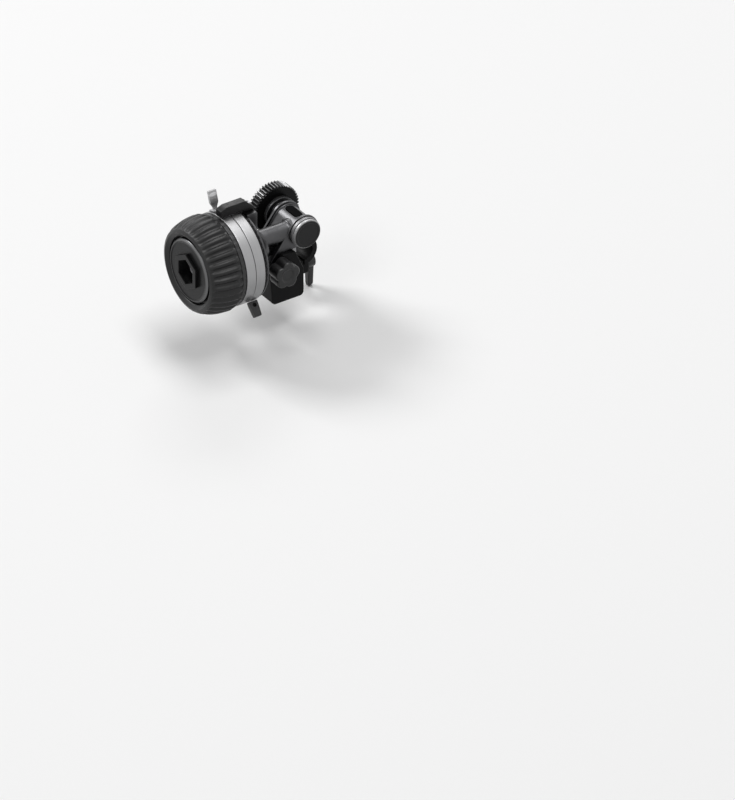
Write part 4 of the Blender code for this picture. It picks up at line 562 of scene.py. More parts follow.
def solid(name, builder, place=None):
    """A bmesh as an object whose place is in its mesh."""
    mesh = bpy.data.meshes.new(name)
    if place:
        builder.transform(place)
    builder.to_mesh(mesh)
    builder.free()
    item = bpy.data.objects.new(name, mesh)
    bpy.context.collection.objects.link(item)
    return item


def plain_mesh(item):
    """Turn an object's modifiers into its own mesh."""
    depsgraph = bpy.context.evaluated_depsgraph_get()
    mesh = bpy.data.meshes.new_from_object(item.evaluated_get(depsgraph))
    item.modifiers.clear()
    used = item.data
    item.data = mesh
    bpy.data.meshes.remove(used)


def soften(item, width):
    """Round a piece's outer edges."""
    bevel = item.modifiers.new("edges", "BEVEL")
    bevel.width = width
    bevel.segments = 3
    bevel.limit_method = "ANGLE"
    bevel.angle_limit = SOFT_ANGLE
    plain_mesh(item)
    return item


def combine(item, others, operation):
    """Join other solids to a piece, or cut them from it, and delete them."""
    for other in others:
        change = item.modifiers.new(other.name, "BOOLEAN")
        change.operation = operation
        change.solver = "EXACT"
        change.object = other
    plain_mesh(item)
    for other in others:
        bpy.data.objects.remove(other, do_unlink=True)


def join(item, *others):
    combine(item, others, "UNION")


def cut(item, *others):
    combine(item, others, "DIFFERENCE")


def deliver(item, node, surface, crisp=CRISP_ANGLE):
    """Hand a finished piece over: it stands for its node and rides on that node's body."""
    mesh = item.data
    mesh.materials.clear()
    mesh.materials.append(finish(surface))
    mesh.shade_smooth()
    mesh.set_sharp_from_angle(angle=crisp)
    even = item.modifiers.new("normals", "WEIGHTED_NORMAL")
    even.keep_sharp = True
    plain_mesh(item)
    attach(item, BODY_OF[node])
    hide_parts(node)


# Node trees, and rings made of sectors


def add_node(tree, kind, fed, out=0, **settings):
    """Add a node, link the sockets that feed it, set its other inputs and give one output."""
    made = tree.nodes.new(kind)
    for name, value in settings.items():
        setattr(made, name, value)
    for name, value in fed.items():
        if isinstance(value, bpy.types.NodeSocket):
            tree.links.new(value, made.inputs[name])
        else:
            made.inputs[name].default_value = value
    return made.outputs[out]


def sector_tree():
    """Geometry Nodes that repeat one sector about local Z and weld the copies into a ring."""
    tree = bpy.data.node_groups.new("sectors_round_axis", "GeometryNodeTree")
    kinds = {"Sector": "Geometry", "Count": "Int", "Weld distance": "Float", "Finish": "Material"}
    for name, kind in kinds.items():
        tree.interface.new_socket(name, in_out="INPUT", socket_type="NodeSocket" + kind)
    tree.interface.new_socket("Ring", in_out="OUTPUT", socket_type="NodeSocketGeometry")
    given = tree.nodes.new("NodeGroupInput").outputs
    step = add_node(tree, "ShaderNodeMath", {0: math.tau, 1: given["Count"]}, operation="DIVIDE")
    index = add_node(tree, "GeometryNodeInputIndex", {})
    turn = add_node(tree, "ShaderNodeMath", {0: index, 1: step}, operation="MULTIPLY")
    euler = add_node(tree, "ShaderNodeCombineXYZ", {"Z": turn})
    rotation = add_node(tree, "FunctionNodeEulerToRotation", {0: euler})
    points = add_node(tree, "GeometryNodePoints", {"Count": given["Count"]})
    fed = {"Points": points, "Instance": given["Sector"], "Rotation": rotation}
    copies = add_node(tree, "GeometryNodeInstanceOnPoints", fed)
    real = add_node(tree, "GeometryNodeRealizeInstances", {0: copies})
    fed = {"Geometry": real, "Distance": given["Weld distance"]}
    weld = add_node(tree, "GeometryNodeMergeByDistance", fed)
    fed = {"Geometry": weld, "Material": given["Finish"]}
    paint = add_node(tree, "GeometryNodeSetMaterial", fed)
    tree.links.new(paint, tree.nodes.new("NodeGroupOutput").inputs[0])
    return tree


def round_axis(name, node, count, wedge, place, surface, crisp=CRISP_ANGLE):
    """Deliver a ring of count sectors about an axis."""
    item = solid(name, wedge)
    tree = bpy.data.node_groups.get("sectors_round_axis") or sector_tree()
    values = {"Count": count, "Weld distance": 4 * WELD, "Finish": finish(surface)}
    ring = item.modifiers.new("sectors", "NODES")
    ring.node_group = tree
    for socket in tree.interface.items_tree:
        if socket.in_out == "INPUT" and socket.name in values:
            ring[socket.identifier] = values[socket.name]
    plain_mesh(item)
    builder = bmesh.new()
    builder.from_mesh(item.data)
    builder.transform(place)
    closed(builder)
    builder.to_mesh(item.data)
    builder.free()
    deliver(item, node, surface, crisp)


BODIES = frame["record"]["behaviour"]["bodies"]
BODY_OF = {node: body for body, nodes in BODIES.items() for node in nodes}


# Finishes


def new_finish(name, colour, roughness, metallic, specular):
    made = bpy.data.materials.new(name)
    made.use_nodes = True
    shader = made.node_tree.nodes["Principled BSDF"]
    shader.inputs["Base Color"].default_value = (*colour, 1.0)
    shader.inputs["Roughness"].default_value = roughness
    shader.inputs["Metallic"].default_value = metallic
    shader.inputs["Specular IOR Level"].default_value = specular
    return made, made.node_tree, shader


def located(tree, centre, size):
    """Object coordinates measured from a centre in steps of a feature's size."""
    source = add_node(tree, "ShaderNodeTexCoord", {}, "Object")
    fed = {"Vector": source, "Location": centre, "Scale": size}
    return add_node(tree, "ShaderNodeMapping", fed, vector_type="TEXTURE")


def noise(tree, vector, detail=3.0, rough=0.55):
    fed = {"Vector": vector, "Scale": 1.0, "Detail": detail, "Roughness": rough}
    return add_node(tree, "ShaderNodeTexNoise", fed)


def between(tree, value, low, high, ends=NOISE_ENDS):
    """Spread a value from its ends to low and high; noise keeps to the middle of its range."""
    fed = {"Value": value, "From Min": ends[0], "From Max": ends[1], "To Min": low, "To Max": high}
    return add_node(tree, "ShaderNodeMapRange", fed)


def lay_over(tree, shader, share, colour, under=None):
    """Mix a colour into the base colour, over a given one or over what it has now."""
    base = shader.inputs["Base Color"]
    fed = {"A": under or base.links[0].from_socket, "B": (*colour, 1.0), "Factor": share}
    tree.links.new(add_node(tree, "ShaderNodeMix", fed, "Result", data_type="RGBA"), base)


def mottle(tree, shader, value, colour, shade):
    """Vary the base colour between a darker shade of it and itself."""
    dark = (*(channel * shade for channel in colour), 1.0)
    lay_over(tree, shader, between(tree, value, 0.0, 1.0), colour, dark)


def about_axis(tree, place):
    """How far along an axis and how far from it a point lies."""
    kind = "ShaderNodeVectorMath"
    along = place.to_3x3().col[2]
    point = located(tree, place.translation, (1.0, 1.0, 1.0))
    axial = add_node(tree, kind, {0: point, 1: along}, "Value", operation="DOT_PRODUCT")
    foot = add_node(tree, kind, {0: along, "Scale": axial}, operation="SCALE")
    return axial, add_node(tree, kind, {0: point, 1: foot}, "Value", operation="DISTANCE")


def turned_lines(tree, place, pitch):
    """Noise that runs in rings round an axis, as the marks of a lathe tool do."""
    axial, outward = about_axis(tree, place)
    flat = add_node(tree, "ShaderNodeCombineXYZ", {"X": axial, "Y": outward})
    fed = {0: flat, "Scale": 1.0 / pitch}
    fine = add_node(tree, "ShaderNodeVectorMath", fed, operation="SCALE")
    return noise(tree, fine, detail=4.0, rough=0.65)


def bare_and_highlight_ring(tree, shader, place, radii, colour, metallic):
    """A lighter, more metallic ring from one radius to another: bare metal on the gear's tips,
    painted highlight on the cap's and the hub's rims.
    """
    bare_and_highlight_share = between(tree, about_axis(tree, place)[1], 0.0, 1.0, radii)
    lay_over(tree, shader, bare_and_highlight_share, colour)
    bare_and_highlight_metallic = add_node(tree, "ShaderNodeMath", {0: bare_and_highlight_share, 1: metallic}, operation="MULTIPLY")
    tree.links.new(bare_and_highlight_metallic, shader.inputs["Metallic"])


def paint_light_spot(tree, shader, centre, size, colour):
    """Change the base colour in one oval spot, with a soft edge: a lighter spot for a painted
    highlight, a darker one for painted shade.
    """
    fed = {0: located(tree, centre, size)}
    reach = add_node(tree, "ShaderNodeVectorMath", fed, "Value", operation="LENGTH")
    lay_over(tree, shader, between(tree, reach, 0.0, 1.0, SPOT_EDGE), colour)


def finish(name):
    """One of this object's finishes, made when it is first asked for.

    A grained one has a fine grain and a faint cloudiness, a lathed one fine rings about its axis.
    """
    made = bpy.data.materials.get(name)
    if made:
        return made
    kind, tone, place, roughness, metallic, grain, depth, specular, shade = FINISHES[name]
    colour = getattr(bpy.context.scene.follow_focus_colours, tone)
    made, tree, shader = new_finish(name, colour, roughness, metallic, specular)
    if kind == "lathed":
        swing = LATHE_SWING
        fine = cloud = turned_lines(tree, place, grain * MM)
    else:
        swing = GRAIN_SWING
        fine = noise(tree, located(tree, place.translation, (grain * MM,) * 3))
        cloud = noise(tree, located(tree, place.translation, (CLOUD_SIZE,) * 3), detail=5.0)
    mottle(tree, shader, cloud, colour, shade)
    gloss = between(tree, cloud, roughness * (1 - swing), roughness * (1 + swing))
    tree.links.new(gloss, shader.inputs["Roughness"])
    fed = {"Height": fine, "Distance": depth * MM, "Strength": 1.0}
    tree.links.new(add_node(tree, "ShaderNodeBump", fed), shader.inputs["Normal"])
    # Lighter rings: bare metal with a painted glint on the gear's tips, painted highlight on the
    # cap's and the hub's rims
    if name in BARE_AND_HIGHLIGHT_RINGS:
        bare_and_highlight_ring(tree, shader, place, *BARE_AND_HIGHLIGHT_RINGS[name])
    # Oval spots of painted light: a painted highlight on the lever and painted shade on the
    # casting's lug under the pointer
    if name in PAINTED_LIGHT_SPOTS:
        paint_light_spot(tree, shader, *PAINTED_LIGHT_SPOTS[name])
    return made


# What a user would change


def colour_of(what, default, name):
    about = "Colour of " + what
    return FloatVectorProperty(name=name, description=about, subtype="COLOR", default=default)


def length_of(name, about, default):
    return FloatProperty(name=name, description=about, unit="LENGTH", precision=5, default=default)


def light(name, about, default):
    return FloatProperty(name=name, description=about, default=default)


class FollowFocusColours(PropertyGroup):
    rubber: colour_of("the grip", (0.01, 0.01, 0.0105), "Rubber")
    silver: colour_of("the stop rings", (0.36, 0.36, 0.365), "Silver")
    casting: colour_of("the gearbox", (0.085, 0.085, 0.088), "Casting")
    black: colour_of("the anodised pieces", (0.009, 0.009, 0.0095), "Black")
    collar: colour_of("the turned end collar", (0.22, 0.22, 0.225), "Collar")
    band: colour_of("the toothed ring at the grip", (0.035, 0.035, 0.036), "Toothed ring")
    lever: colour_of("the thumb lever", (0.42, 0.42, 0.425), "Lever")
    steel: colour_of("screws and shafts", (0.42, 0.42, 0.43), "Steel")
    brass: colour_of("bushes and inner gears", (0.66, 0.5, 0.24), "Brass")


def half_height(node):
    low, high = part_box(node)
    return (high[2] - low[2]) / 2


class FollowFocusWheel(PropertyGroup):
    grip_radius: length_of(
        "Grip radius", "Radius over the ribs at their fullest", half_height("grip_rubber")
    )
    grip_depth: length_of("Grip depth", "Length of the grip along its axis", 24.6 * MM)
    ribs: IntProperty(name="Ribs", description="Moulded ribs round the grip", default=36)
    groove: length_of("Groove", "Depth between two ribs", 1.6 * MM)
    band_teeth: IntProperty(name="Band teeth", description="Teeth of each toothed ring", default=42)


class FollowFocusGear(PropertyGroup):
    teeth: IntProperty(name="Teeth", description="Teeth of the drive gear", default=46)
    lobes: IntProperty(name="Knob lobes", description="Lobes of the lock knob", default=5)


class FollowFocusStage(PropertyGroup):
    key: light("Key light", "Power of the key light in watts", 230.0)
    back: light("Back light", "Power of the light behind in watts", 70.0)
    fill: light("Fill light", "Power of the fill light in watts", 55.0)
    top: light("Top light", "Power of the light overhead in watts", 270.0)
    sky: light("Sky", "Strength of the world's light", 0.12)
    floor: colour_of("the floor", (0.86, 0.86, 0.86), "Floor")


# Handwheel


def even_shares(steps):
    return [step / steps - 0.5 for step in range(steps + 1)]


def notch(share, crest, floor):
    """How deep a groove is at a share of its sector: 0 on the crest, 1 on the floor."""
    t = min(1.0, max(0.0, (abs(share) - crest) / (floor - crest)))
    return t * t * (3 - 2 * t)


class FOLLOWFOCUS_OT_grip(Operator):
    """Moulded rubber grip, one rib to a sector"""

    bl_idname = "followfocus.grip"
    bl_label = "Rubber grip"

    def execute(self, context):
        sizes = context.scene.follow_focus_wheel
        size = sizes.grip_radius
        front = GRIP_START - sizes.grip_depth
        inner = SLEEVE_RADIUS + SEAT
        step = front + GRIP_LIP_DEPTH + SEAT
        outer = [
            (GRIP_START - share * sizes.grip_depth, reach * size, groove)
            for share, reach, groove in smooth_curve(GRIP_OUTER_SHARES, CURVE_STEPS)
        ]
        lip = [
            outer[-2][:2],
            outer[-1][:2],
            (front + GRIP_LIP_EDGE, GRIP_LIP_RADIUS),
            (step, GRIP_LIP_RADIUS),
            (step, inner),
            (GRIP_START, inner),
        ]
        tail = [(station, radius, 0.0) for station, radius in rounded(lip, GRIP_LIP_ROLL, False)]
        _, radius, groove = outer[0]
        start = [
            (GRIP_START, radius - GRIP_REAR_EDGE, groove),
            (GRIP_START - GRIP_REAR_EDGE, radius, groove),
        ]
        line = start + outer[1:-2] + tail

        def section(share):
            deep = notch(share, RIB_CREST_SHARE, RIB_FLOOR_SHARE) * sizes.groove
            return [(station, radius - groove * deep) for station, radius, groove in line]

        ribs = sizes.ribs
        wedge = sector(ribs, even_shares(RIB_STEPS), section, hollow=True)
        round_axis(
            "moulded_grip", "grip_rubber", ribs, wedge, WHEEL, "moulded_rubber", SMOOTH_ANGLE
        )
        return {"FINISHED"}


def toothed_band(name, node, ends, bore, depth, surface):
    """A ring with fine square teeth."""
    teeth = bpy.context.scene.follow_focus_wheel.band_teeth

    def section(share):
        radius = BAND_RADIUS - notch(share, BAND_CREST_SHARE, BAND_FLOOR_SHARE) * depth
        return rounded(tube_profile(*ends, bore, radius), BAND_EDGE, steps=2)

    wedge = sector(teeth, even_shares(BAND_STEPS), section, hollow=True)
    round_axis(name, node, teeth, wedge, WHEEL, surface)


def stop_ring(name, node, start):
    bore = SLEEVE_RADIUS + 2 * RUN
    profile = tube_profile(start, start + STOP_RING_WIDTH, bore, STOP_RING_RADIUS)
    ring = solid(name, turned(rounded(profile, STOP_RING_EDGE), LARGE_STEPS, hollow=True), WHEEL)
    deliver(ring, node, "satin_silver")


class FOLLOWFOCUS_OT_rings(Operator):
    """Two silver stop rings between two dark toothed rings"""

    bl_idname = "followfocus.rings"
    bl_label = "Stop rings and toothed rings"

    def execute(self, context):
        start = -BAND_WIDTH - SEAT
        ends = (start, start + BAND_WIDTH)
        bore = SLEEVE_RADIUS + SEAT
        toothed_band("front_band", "front_tooth_ring", ends, bore, FRONT_TOOTH, "band_grey")
        ends = (REAR_BAND_START, REAR_BAND_START + REAR_BAND_WIDTH)
        bore = REAR_BAND_BORE
        toothed_band("rear_band", "rear_tooth_ring", ends, bore, BAND_TOOTH, "black_turned")
        stop_ring("front_stop_ring", "stop_ring_a", 0.0)
        stop_ring("rear_stop_ring", "stop_ring_b", STOP_RING_WIDTH + SEAT)
        return {"FINISHED"}


def hexagon_ring(station, reach):
    """Points round a hexagon, given the distance from its middle to its flats."""
    points = []
    for step in range(LARGE_STEPS):
        turn = math.tau * step / LARGE_STEPS
        radius = reach / math.cos(turn % (math.pi / 3) - math.pi / 6)
        points.append((radius * math.cos(turn), radius * math.sin(turn), station))
    return points


class FOLLOWFOCUS_OT_hub(Operator):
    """Hub disc with its rounded rim, hexagonal socket and magnet"""

    bl_idname = "followfocus.hub"
    bl_label = "Hub disc"

    def execute(self, context):
        back = HUB_START + HUB_THICKNESS
        end = back + HUB_PLUG_LENGTH
        top = HUB_START - HEX_COLLAR_HEIGHT
        floor = end - SOCKET_FLOOR
        rim = [
            (end, HUB_PLUG_RADIUS),
            (back, HUB_PLUG_RADIUS),
            (back, HUB_RADIUS),
            (HUB_START + HUB_RIM / 2, HUB_RADIUS),
            (HUB_START - HUB_RIM / 3, HUB_RADIUS - HUB_RIM),
            (HUB_START - HUB_RIM / 3, HUB_RADIUS - 3 * HUB_RIM / 2),
            (HUB_START, HUB_RADIUS - 2 * HUB_RIM),
            (HUB_START, HEX_COLLAR_ACROSS * 2 / 3),
        ]
        hexes = [
            (HUB_START, HEX_COLLAR_ACROSS / 2),
            (top, HEX_COLLAR_ACROSS / 2),
            (top, HEX_SOCKET_ACROSS / 2),
            (floor, HEX_SOCKET_ACROSS / 2),
        ]
        rings = [
            [(x, y, station) for x, y in circle(radius, LARGE_STEPS)]
            for station, radius in rounded(rim, HEX_EDGE, loop=False)
        ]
        rings += [hexagon_ring(*corner) for corner in rounded(hexes, HEX_EDGE, loop=False)]
        disc = solid("socket_disc", loft(rings), WHEEL)
        deliver(disc, "hub_disc", "black_hub")
        low = floor - SEAT - MAGNET_THICKNESS
        profile = rounded(rod_profile(low, floor - SEAT, MAGNET_RADIUS), HEX_EDGE, loop=False)
        magnet = solid("round_magnet", turned(profile, SMALL_STEPS), WHEEL)
        deliver(magnet, "socket_magnet", "bright_steel")
        return {"FINISHED"}


# Stops


def stop_place(angle, station):
    """On a stop ring's outside: Z points outwards and X along the wheel's axis."""
    on_ring = Matrix.Rotation(angle, 4, "Z") @ Matrix.Translation((STOP_RING_RADIUS, 0, station))
    return WHEEL @ on_ring @ look_along((1, 0, 0), (0, 0, 1))


def standing(outline, thickness):
    """A plate cut to an (along the ring, outwards) outline, as thick as given along the axis."""
    blade = prism([(along, -rise) for along, rise in outline], -thickness / 2, thickness / 2)
    blade.transform(look_along((0, 1, 0), (1, 0, 0)))
    return blade


class FOLLOWFOCUS_OT_lever_stop(Operator):
    """Silver thumb lever and its foot on the front stop ring"""

    bl_idname = "followfocus.lever_stop"
    bl_label = "Front stop"

    def execute(self, context):
        place = stop_place(STOP_A_ANGLE, STOP_RING_WIDTH / 2)
        length, width = FOOT_LENGTH / 2, FOOT_WIDTH / 2
        base = prism(box_outline(-length, length, -width, width), SEAT, FOOT_HEIGHT)
        foot = soften(solid("lever_foot", base, place), LEVER_EDGE)
        deliver(foot, "stop_a_foot", "bright_silver")
        wide = LEVER_WIDTH / 2
        neck = LEVER_NECK_RADIUS
        low = FOOT_HEIGHT + SEAT
        half = [
            (neck, low),
            (neck, low + LEVER_NECK_HEIGHT / 2),
            (wide, low + LEVER_NECK_HEIGHT * 2),
            (wide, LEVER_HEIGHT),
        ]
        outline = rounded(half + [(-x, y) for x, y in reversed(half)], neck / 2)
        paddle = solid("thumb_paddle", standing(outline, LEVER_THICKNESS), place)
        soften(paddle, LEVER_EDGE)
        stem_foot = SLEEVE_RADIUS + 2 * SEAT - STOP_RING_RADIUS
        stem = prism(circle(LEVER_STEM_RADIUS, SMALL_STEPS), stem_foot, low + neck)
        join(paddle, solid("stem", stem, place))
        start, end = (share * LEVER_HEIGHT for share in LEVER_DIMPLE_SHARES)
        for side in (-1, 1):
            deep = side * (LEVER_THICKNESS / 2 - LEVER_DIMPLE_DEPTH)
            out = side * (LEVER_THICKNESS / 2 + OVERRUN)
            span = wide - neck / 2
            well = rounded(box_outline(-span, span, -end, -start), neck / 2)
            dimple = prism(well, min(deep, out), max(deep, out))
            dimple.transform(look_along((0, 1, 0), (1, 0, 0)))
            cut(paddle, solid("dimple", dimple, place))
        deliver(paddle, "stop_a_lever", "thumbed_silver")
        return {"FINISHED"}


class FOLLOWFOCUS_OT_tab_stop(Operator):
    """Black tab and its set screw on the rear stop ring"""

    bl_idname = "followfocus.tab_stop"
    bl_label = "Rear stop"

    def execute(self, context):
        place = stop_place(STOP_B_ANGLE, STOP_RING_WIDTH * 3 / 2 + SEAT)
        wide = TAB_WIDTH / 2
        tip = wide * TAB_TIP_SHARE
        half = [(wide, SEAT), (wide, TAB_SCREW_RISE), (tip, TAB_HEIGHT)]
        outline = rounded(half + [(-x, y) for x, y in reversed(half)], TAB_EDGE)
        tab = soften(solid("end_tab", standing(outline, TAB_THICKNESS), place), TAB_EDGE)
        out = Matrix.Rotation(-math.pi / 2, 4, "X")
        screw_place = place @ (Matrix.Translation((0, TAB_THICKNESS / 2, TAB_SCREW_RISE)) @ out)
        depth = TAB_THICKNESS * 2 / 3
        well = prism(circle(TAB_SCREW_RADIUS + SEAT, SMALL_STEPS), -depth, OVERRUN)
        cut(tab, solid("well", well, screw_place))
        deliver(tab, "stop_b_tab", "black_moulded")
        sizes = (TAB_SCREW_RADIUS, depth - SEAT, TAB_SCREW_RADIUS, -2 * SEAT)
        socket_screw("tab_screw", "stop_b_screw", screw_place, sizes, "black_blasted")
        return {"FINISHED"}


def socket_screw(name, node, place, sizes, surface="bright_steel"):
    """A screw with a hexagonal socket; its head sits on station 0 and points along Z."""
    radius, length, head, height = sizes
    key = head * SCREW_KEY_SHARE
    deep = height - min(abs(height) if height > 0 else length, head) / 2

    def section(share):
        reach = key / math.cos(share * math.pi / 3)
        line = [(-length, 0), (-length, radius)]
        if head > radius:
            line += [(0, radius), (0, head)]
        line += [(height, head), (height, reach), (deep, reach), (deep, 0)]
        return rounded(line, SMALL_EDGE, loop=False, steps=3)

    wedge = sector(HEX_SIDES, even_shares(HEX_STEPS), section)
    round_axis(name, node, HEX_SIDES, wedge, place, surface)


def screw_well(name, place, sizes, rise):
    """Room for a screw whose head sits on station 0, with a gap all round it."""
    radius, depth, head = (size + SEAT for size in sizes[:3])
    line = [(-depth, 0), (-depth, radius), (-SEAT, radius), (-SEAT, head), (rise, head), (rise, 0)]
    return solid(name, turned(line, SMALL_STEPS), place)


# Casting


def flare_profile():
    """Flange, its flare down to the drum, and the drum's end."""
    rear = FLANGE_START + FLANGE_THICKNESS
    run = DRUM_END - rear
    line = [
        (FLANGE_START, 0),
        (FLANGE_START, FLANGE_RADIUS - FLANGE_EDGE),
        (FLANGE_START + FLANGE_EDGE, FLANGE_RADIUS),
        (rear - FLANGE_EDGE, FLANGE_RADIUS),
        (rear, FLANGE_RADIUS - FLANGE_EDGE),
    ]
    for along, out in smooth_curve(FLARE_SHARES, CURVE_STEPS):
        line.append((rear + along * run, DRUM_RADIUS + out * (FLARE_RADIUS - DRUM_RADIUS)))
    return line + [(DRUM_END, 0)]


def tail_line(offset):
    """Direction and nearest point of the sloped edge that is tangent to the head's circle."""
    direction = Vector((-math.cos(TAIL_SLOPE), -math.sin(TAIL_SLOPE)))
    return direction, Vector((direction.y, -direction.x)) * offset


def along_line(point, direction, level):
    """Where a sloped line through a point reaches a level."""
    return point + direction * ((level - point.y) / direction.y)


def cheek_outline(radius, foot, hook=0.0, strip=0.0):
    """Upright outline about the gear axis: round head, sloped left edge, flat foot.

    With a hook, a strip of the slope runs on down, over the block's sloped shoulder.
    """
    direction, touch = tail_line(radius)
    start = math.atan2(touch.y, touch.x)
    lowest = -math.asin(foot / radius) if radius > foot else -FOOT_TURN
    outline = [(-radius * FOOT_SHARE, -foot)]
    outline += arc((0, 0), radius, lowest, start, MEDIUM_STEPS // 2)
    low = along_line(touch, direction, -(hook or foot))
    outline.append((low.x, low.y))
    if hook:
        inner = low - touch * (strip / radius)
        top = along_line(inner, direction, -foot)
        outline += [(inner.x, inner.y), (top.x, top.y)]
    return outline


def rib_outline():
    """Rib under the layshaft's boss, from the flange to the head's sloped edge."""
    direction, touch = tail_line(HEAD_RADIUS - RIM_BAND / 2)
    right = along_line(touch, direction, -HOOK_DROP + RIM_RADIUS / 2)
    flange_back = FLANGE_START + FLANGE_THICKNESS / 2 - GEAR_REACH
    return [(flange_back, 0), (flange_back, -RIB_DROP), (right.x, right.y), (touch.x, 0)]


def upright(name, outline, low, high):
    """Extrude an upright (X, Z) outline about the gear axis along Y."""
    return solid(name, prism([(x, -z) for x, z in outline], low, high), OUTPUT)


def quarter_turn(steps):
    return [math.pi / 2 * step / steps for step in range(steps + 1)]


def cross_head(foot):
    """The head's core, which widens into a fillet at both cheeks."""
    low = RIM_THICKNESS / 2 - HEAD_FRONT
    high = HEAD_BACK - RIM_THICKNESS / 2
    rings = []
    for turn in quarter_turn(6):
        station = low + RIM_THICKNESS / 2 + HEAD_FILLET * (1 - math.cos(turn))
        rings.append((station, 1 - math.sin(turn)))
    back = [(low + high - station, widen) for station, widen in reversed(rings)]
    ends = [(low, rings[0][1])] + rings + back + [(high, rings[0][1])]
    lofted = [
        [(x, -z, station) for x, z in cheek_outline(HEAD_RADIUS + HEAD_FILLET * widen, foot)]
        for station, widen in ends
    ]
    return solid("cross_head", loft(lofted), OUTPUT)


def lug():
    block = prism(
        box_outline(DRUM_RADIUS, LUG_TOP, -LUG_HALF_WIDTH, LUG_HALF_WIDTH),
        FLANGE_START + FLANGE_EDGE,
        FLANGE_START + FLANGE_THICKNESS + LUG_LENGTH,
    )
    return soften(solid("pointer_lug", block, WHEEL), LUG_EDGE)


def boss():
    """Boss round the layshaft, with a fillet where it meets the head."""
    end = GEAR_REACH - HEAD_RADIUS / 2
    fillet_end = GEAR_REACH - HEAD_RADIUS + BOSS_FILLET / 2
    start = DRUM_END - OVERRUN
    line = [(start, 0), (start, BOSS_RADIUS)]
    for turn in quarter_turn(8):
        station = fillet_end - BOSS_FILLET * (1 - math.sin(turn))
        line.append((station, BOSS_RADIUS + BOSS_FILLET / 2 * (1 - math.cos(turn))))
    line += [(end, line[-1][1]), (end, 0)]
    return solid("layshaft_boss", turned(line, MEDIUM_STEPS), LAYSHAFT)


def pointer_screw():
    """Place of the pointer's screw, its sizes and a well for it."""
    station = FLANGE_START + FLANGE_EDGE + LUG_LENGTH / 2 + FLANGE_EDGE
    seat = POINTER_TOP - POINTER_SCREW_SINK
    place = WHEEL @ Matrix.Translation((seat, 0, station)) @ look_along((1, 0, 0), (0, 0, 1))
    length = POINTER_SCREW_DEPTH + seat - LUG_TOP - SEAT
    sizes = (POINTER_SCREW_RADIUS, length, POINTER_SCREW_HEAD, POINTER_SCREW_RADIUS)
    return place, sizes, screw_well("pointer_well", place, sizes, 2 * POINTER_SCREW_SINK)


def inlay_outline(grow):
    straight = (INLAY_LENGTH - INLAY_WIDTH) / 2
    half = INLAY_WIDTH / 2 + grow
    outline = arc((0, INLAY_MIDDLE + straight), half, 0, math.pi, SMALL_STEPS // 2)
    return outline + arc((0, INLAY_MIDDLE - straight), half, math.pi, math.tau, SMALL_STEPS // 2)


def inlay_solid(name, grow, low, high):
    plate = prism(inlay_outline(grow), low, high)
    plate.transform(look_along((0, -1, 0), (1, 0, 0)))
    return solid(name, plate, OUTPUT)


class FOLLOWFOCUS_OT_casting(Operator):
    """Gearbox casting: flange and flare, layshaft boss, cross head between two rimmed cheeks"""

    bl_idname = "followfocus.casting"
    bl_label = "Gearbox casting"

    def execute(self, context):
        foot = SEAT_DROP + DRIVE_LIFT
        front = -HEAD_FRONT
        web_strip = HOOK_STRIP - RIM_BAND - SEAT
        casting = solid("casting", turned(flare_profile(), LARGE_STEPS), WHEEL)
        outline = cheek_outline(RIM_RADIUS, foot)
        rim_back = upright("rim_back", outline, HEAD_BACK - RIM_THICKNESS, HEAD_BACK)
        outline = cheek_outline(RIM_RADIUS, foot, HOOK_DROP, HOOK_STRIP)
        rim_front = upright("rim_front", outline, front, front + RIM_THICKNESS)
        outline = cheek_outline(HEAD_RADIUS - SEAT, foot - SEAT / 2, HOOK_DROP - SEAT, web_strip)
        web = upright("hook_web", outline, front + SEAT, HOOK_BACK)
        rib = upright("boss_rib", rib_outline(), -RIB_HALF_THICKNESS, RIB_HALF_THICKNESS)
        spigot_end = front - COLLAR_LENGTH - CAP_LENGTH + CAP_FACE
        line = rod_profile(spigot_end, front + RIM_THICKNESS / 2, SPIGOT_RADIUS)
        spigot = solid("cap_spigot", turned(line, MEDIUM_STEPS), OUTPUT)
        soften(rim_back, RIM_EDGE)
        soften(rim_front, RIM_EDGE)
        join(casting, boss(), cross_head(foot - SEAT), rim_back, rim_front, web, rib, spigot, lug())
        line = rod_profile(FLANGE_START - OVERRUN, FLANGE_START + CAVITY_DEPTH, CAVITY_RADIUS)
        drum = turned(line, MEDIUM_STEPS)
        line = rod_profile(spigot_end - OVERRUN, HEAD_BACK + OVERRUN, BORE_RADIUS)
        across = turned(line, SMALL_STEPS)
        floor = HEAD_RADIUS - INLAY_HEIGHT - SEAT
        recess = inlay_solid("inlay_recess", SEAT, floor, HEAD_RADIUS + OVERRUN)
        cut(
            casting,
            solid("drum_hollow", drum, WHEEL),
            solid("cross_bore", across, OUTPUT),
            recess,
            pointer_screw()[2],
            *block_wells(),
        )
        deliver(casting, "gearbox_housing", "dark_casting", CAST_ANGLE)
        return {"FINISHED"}


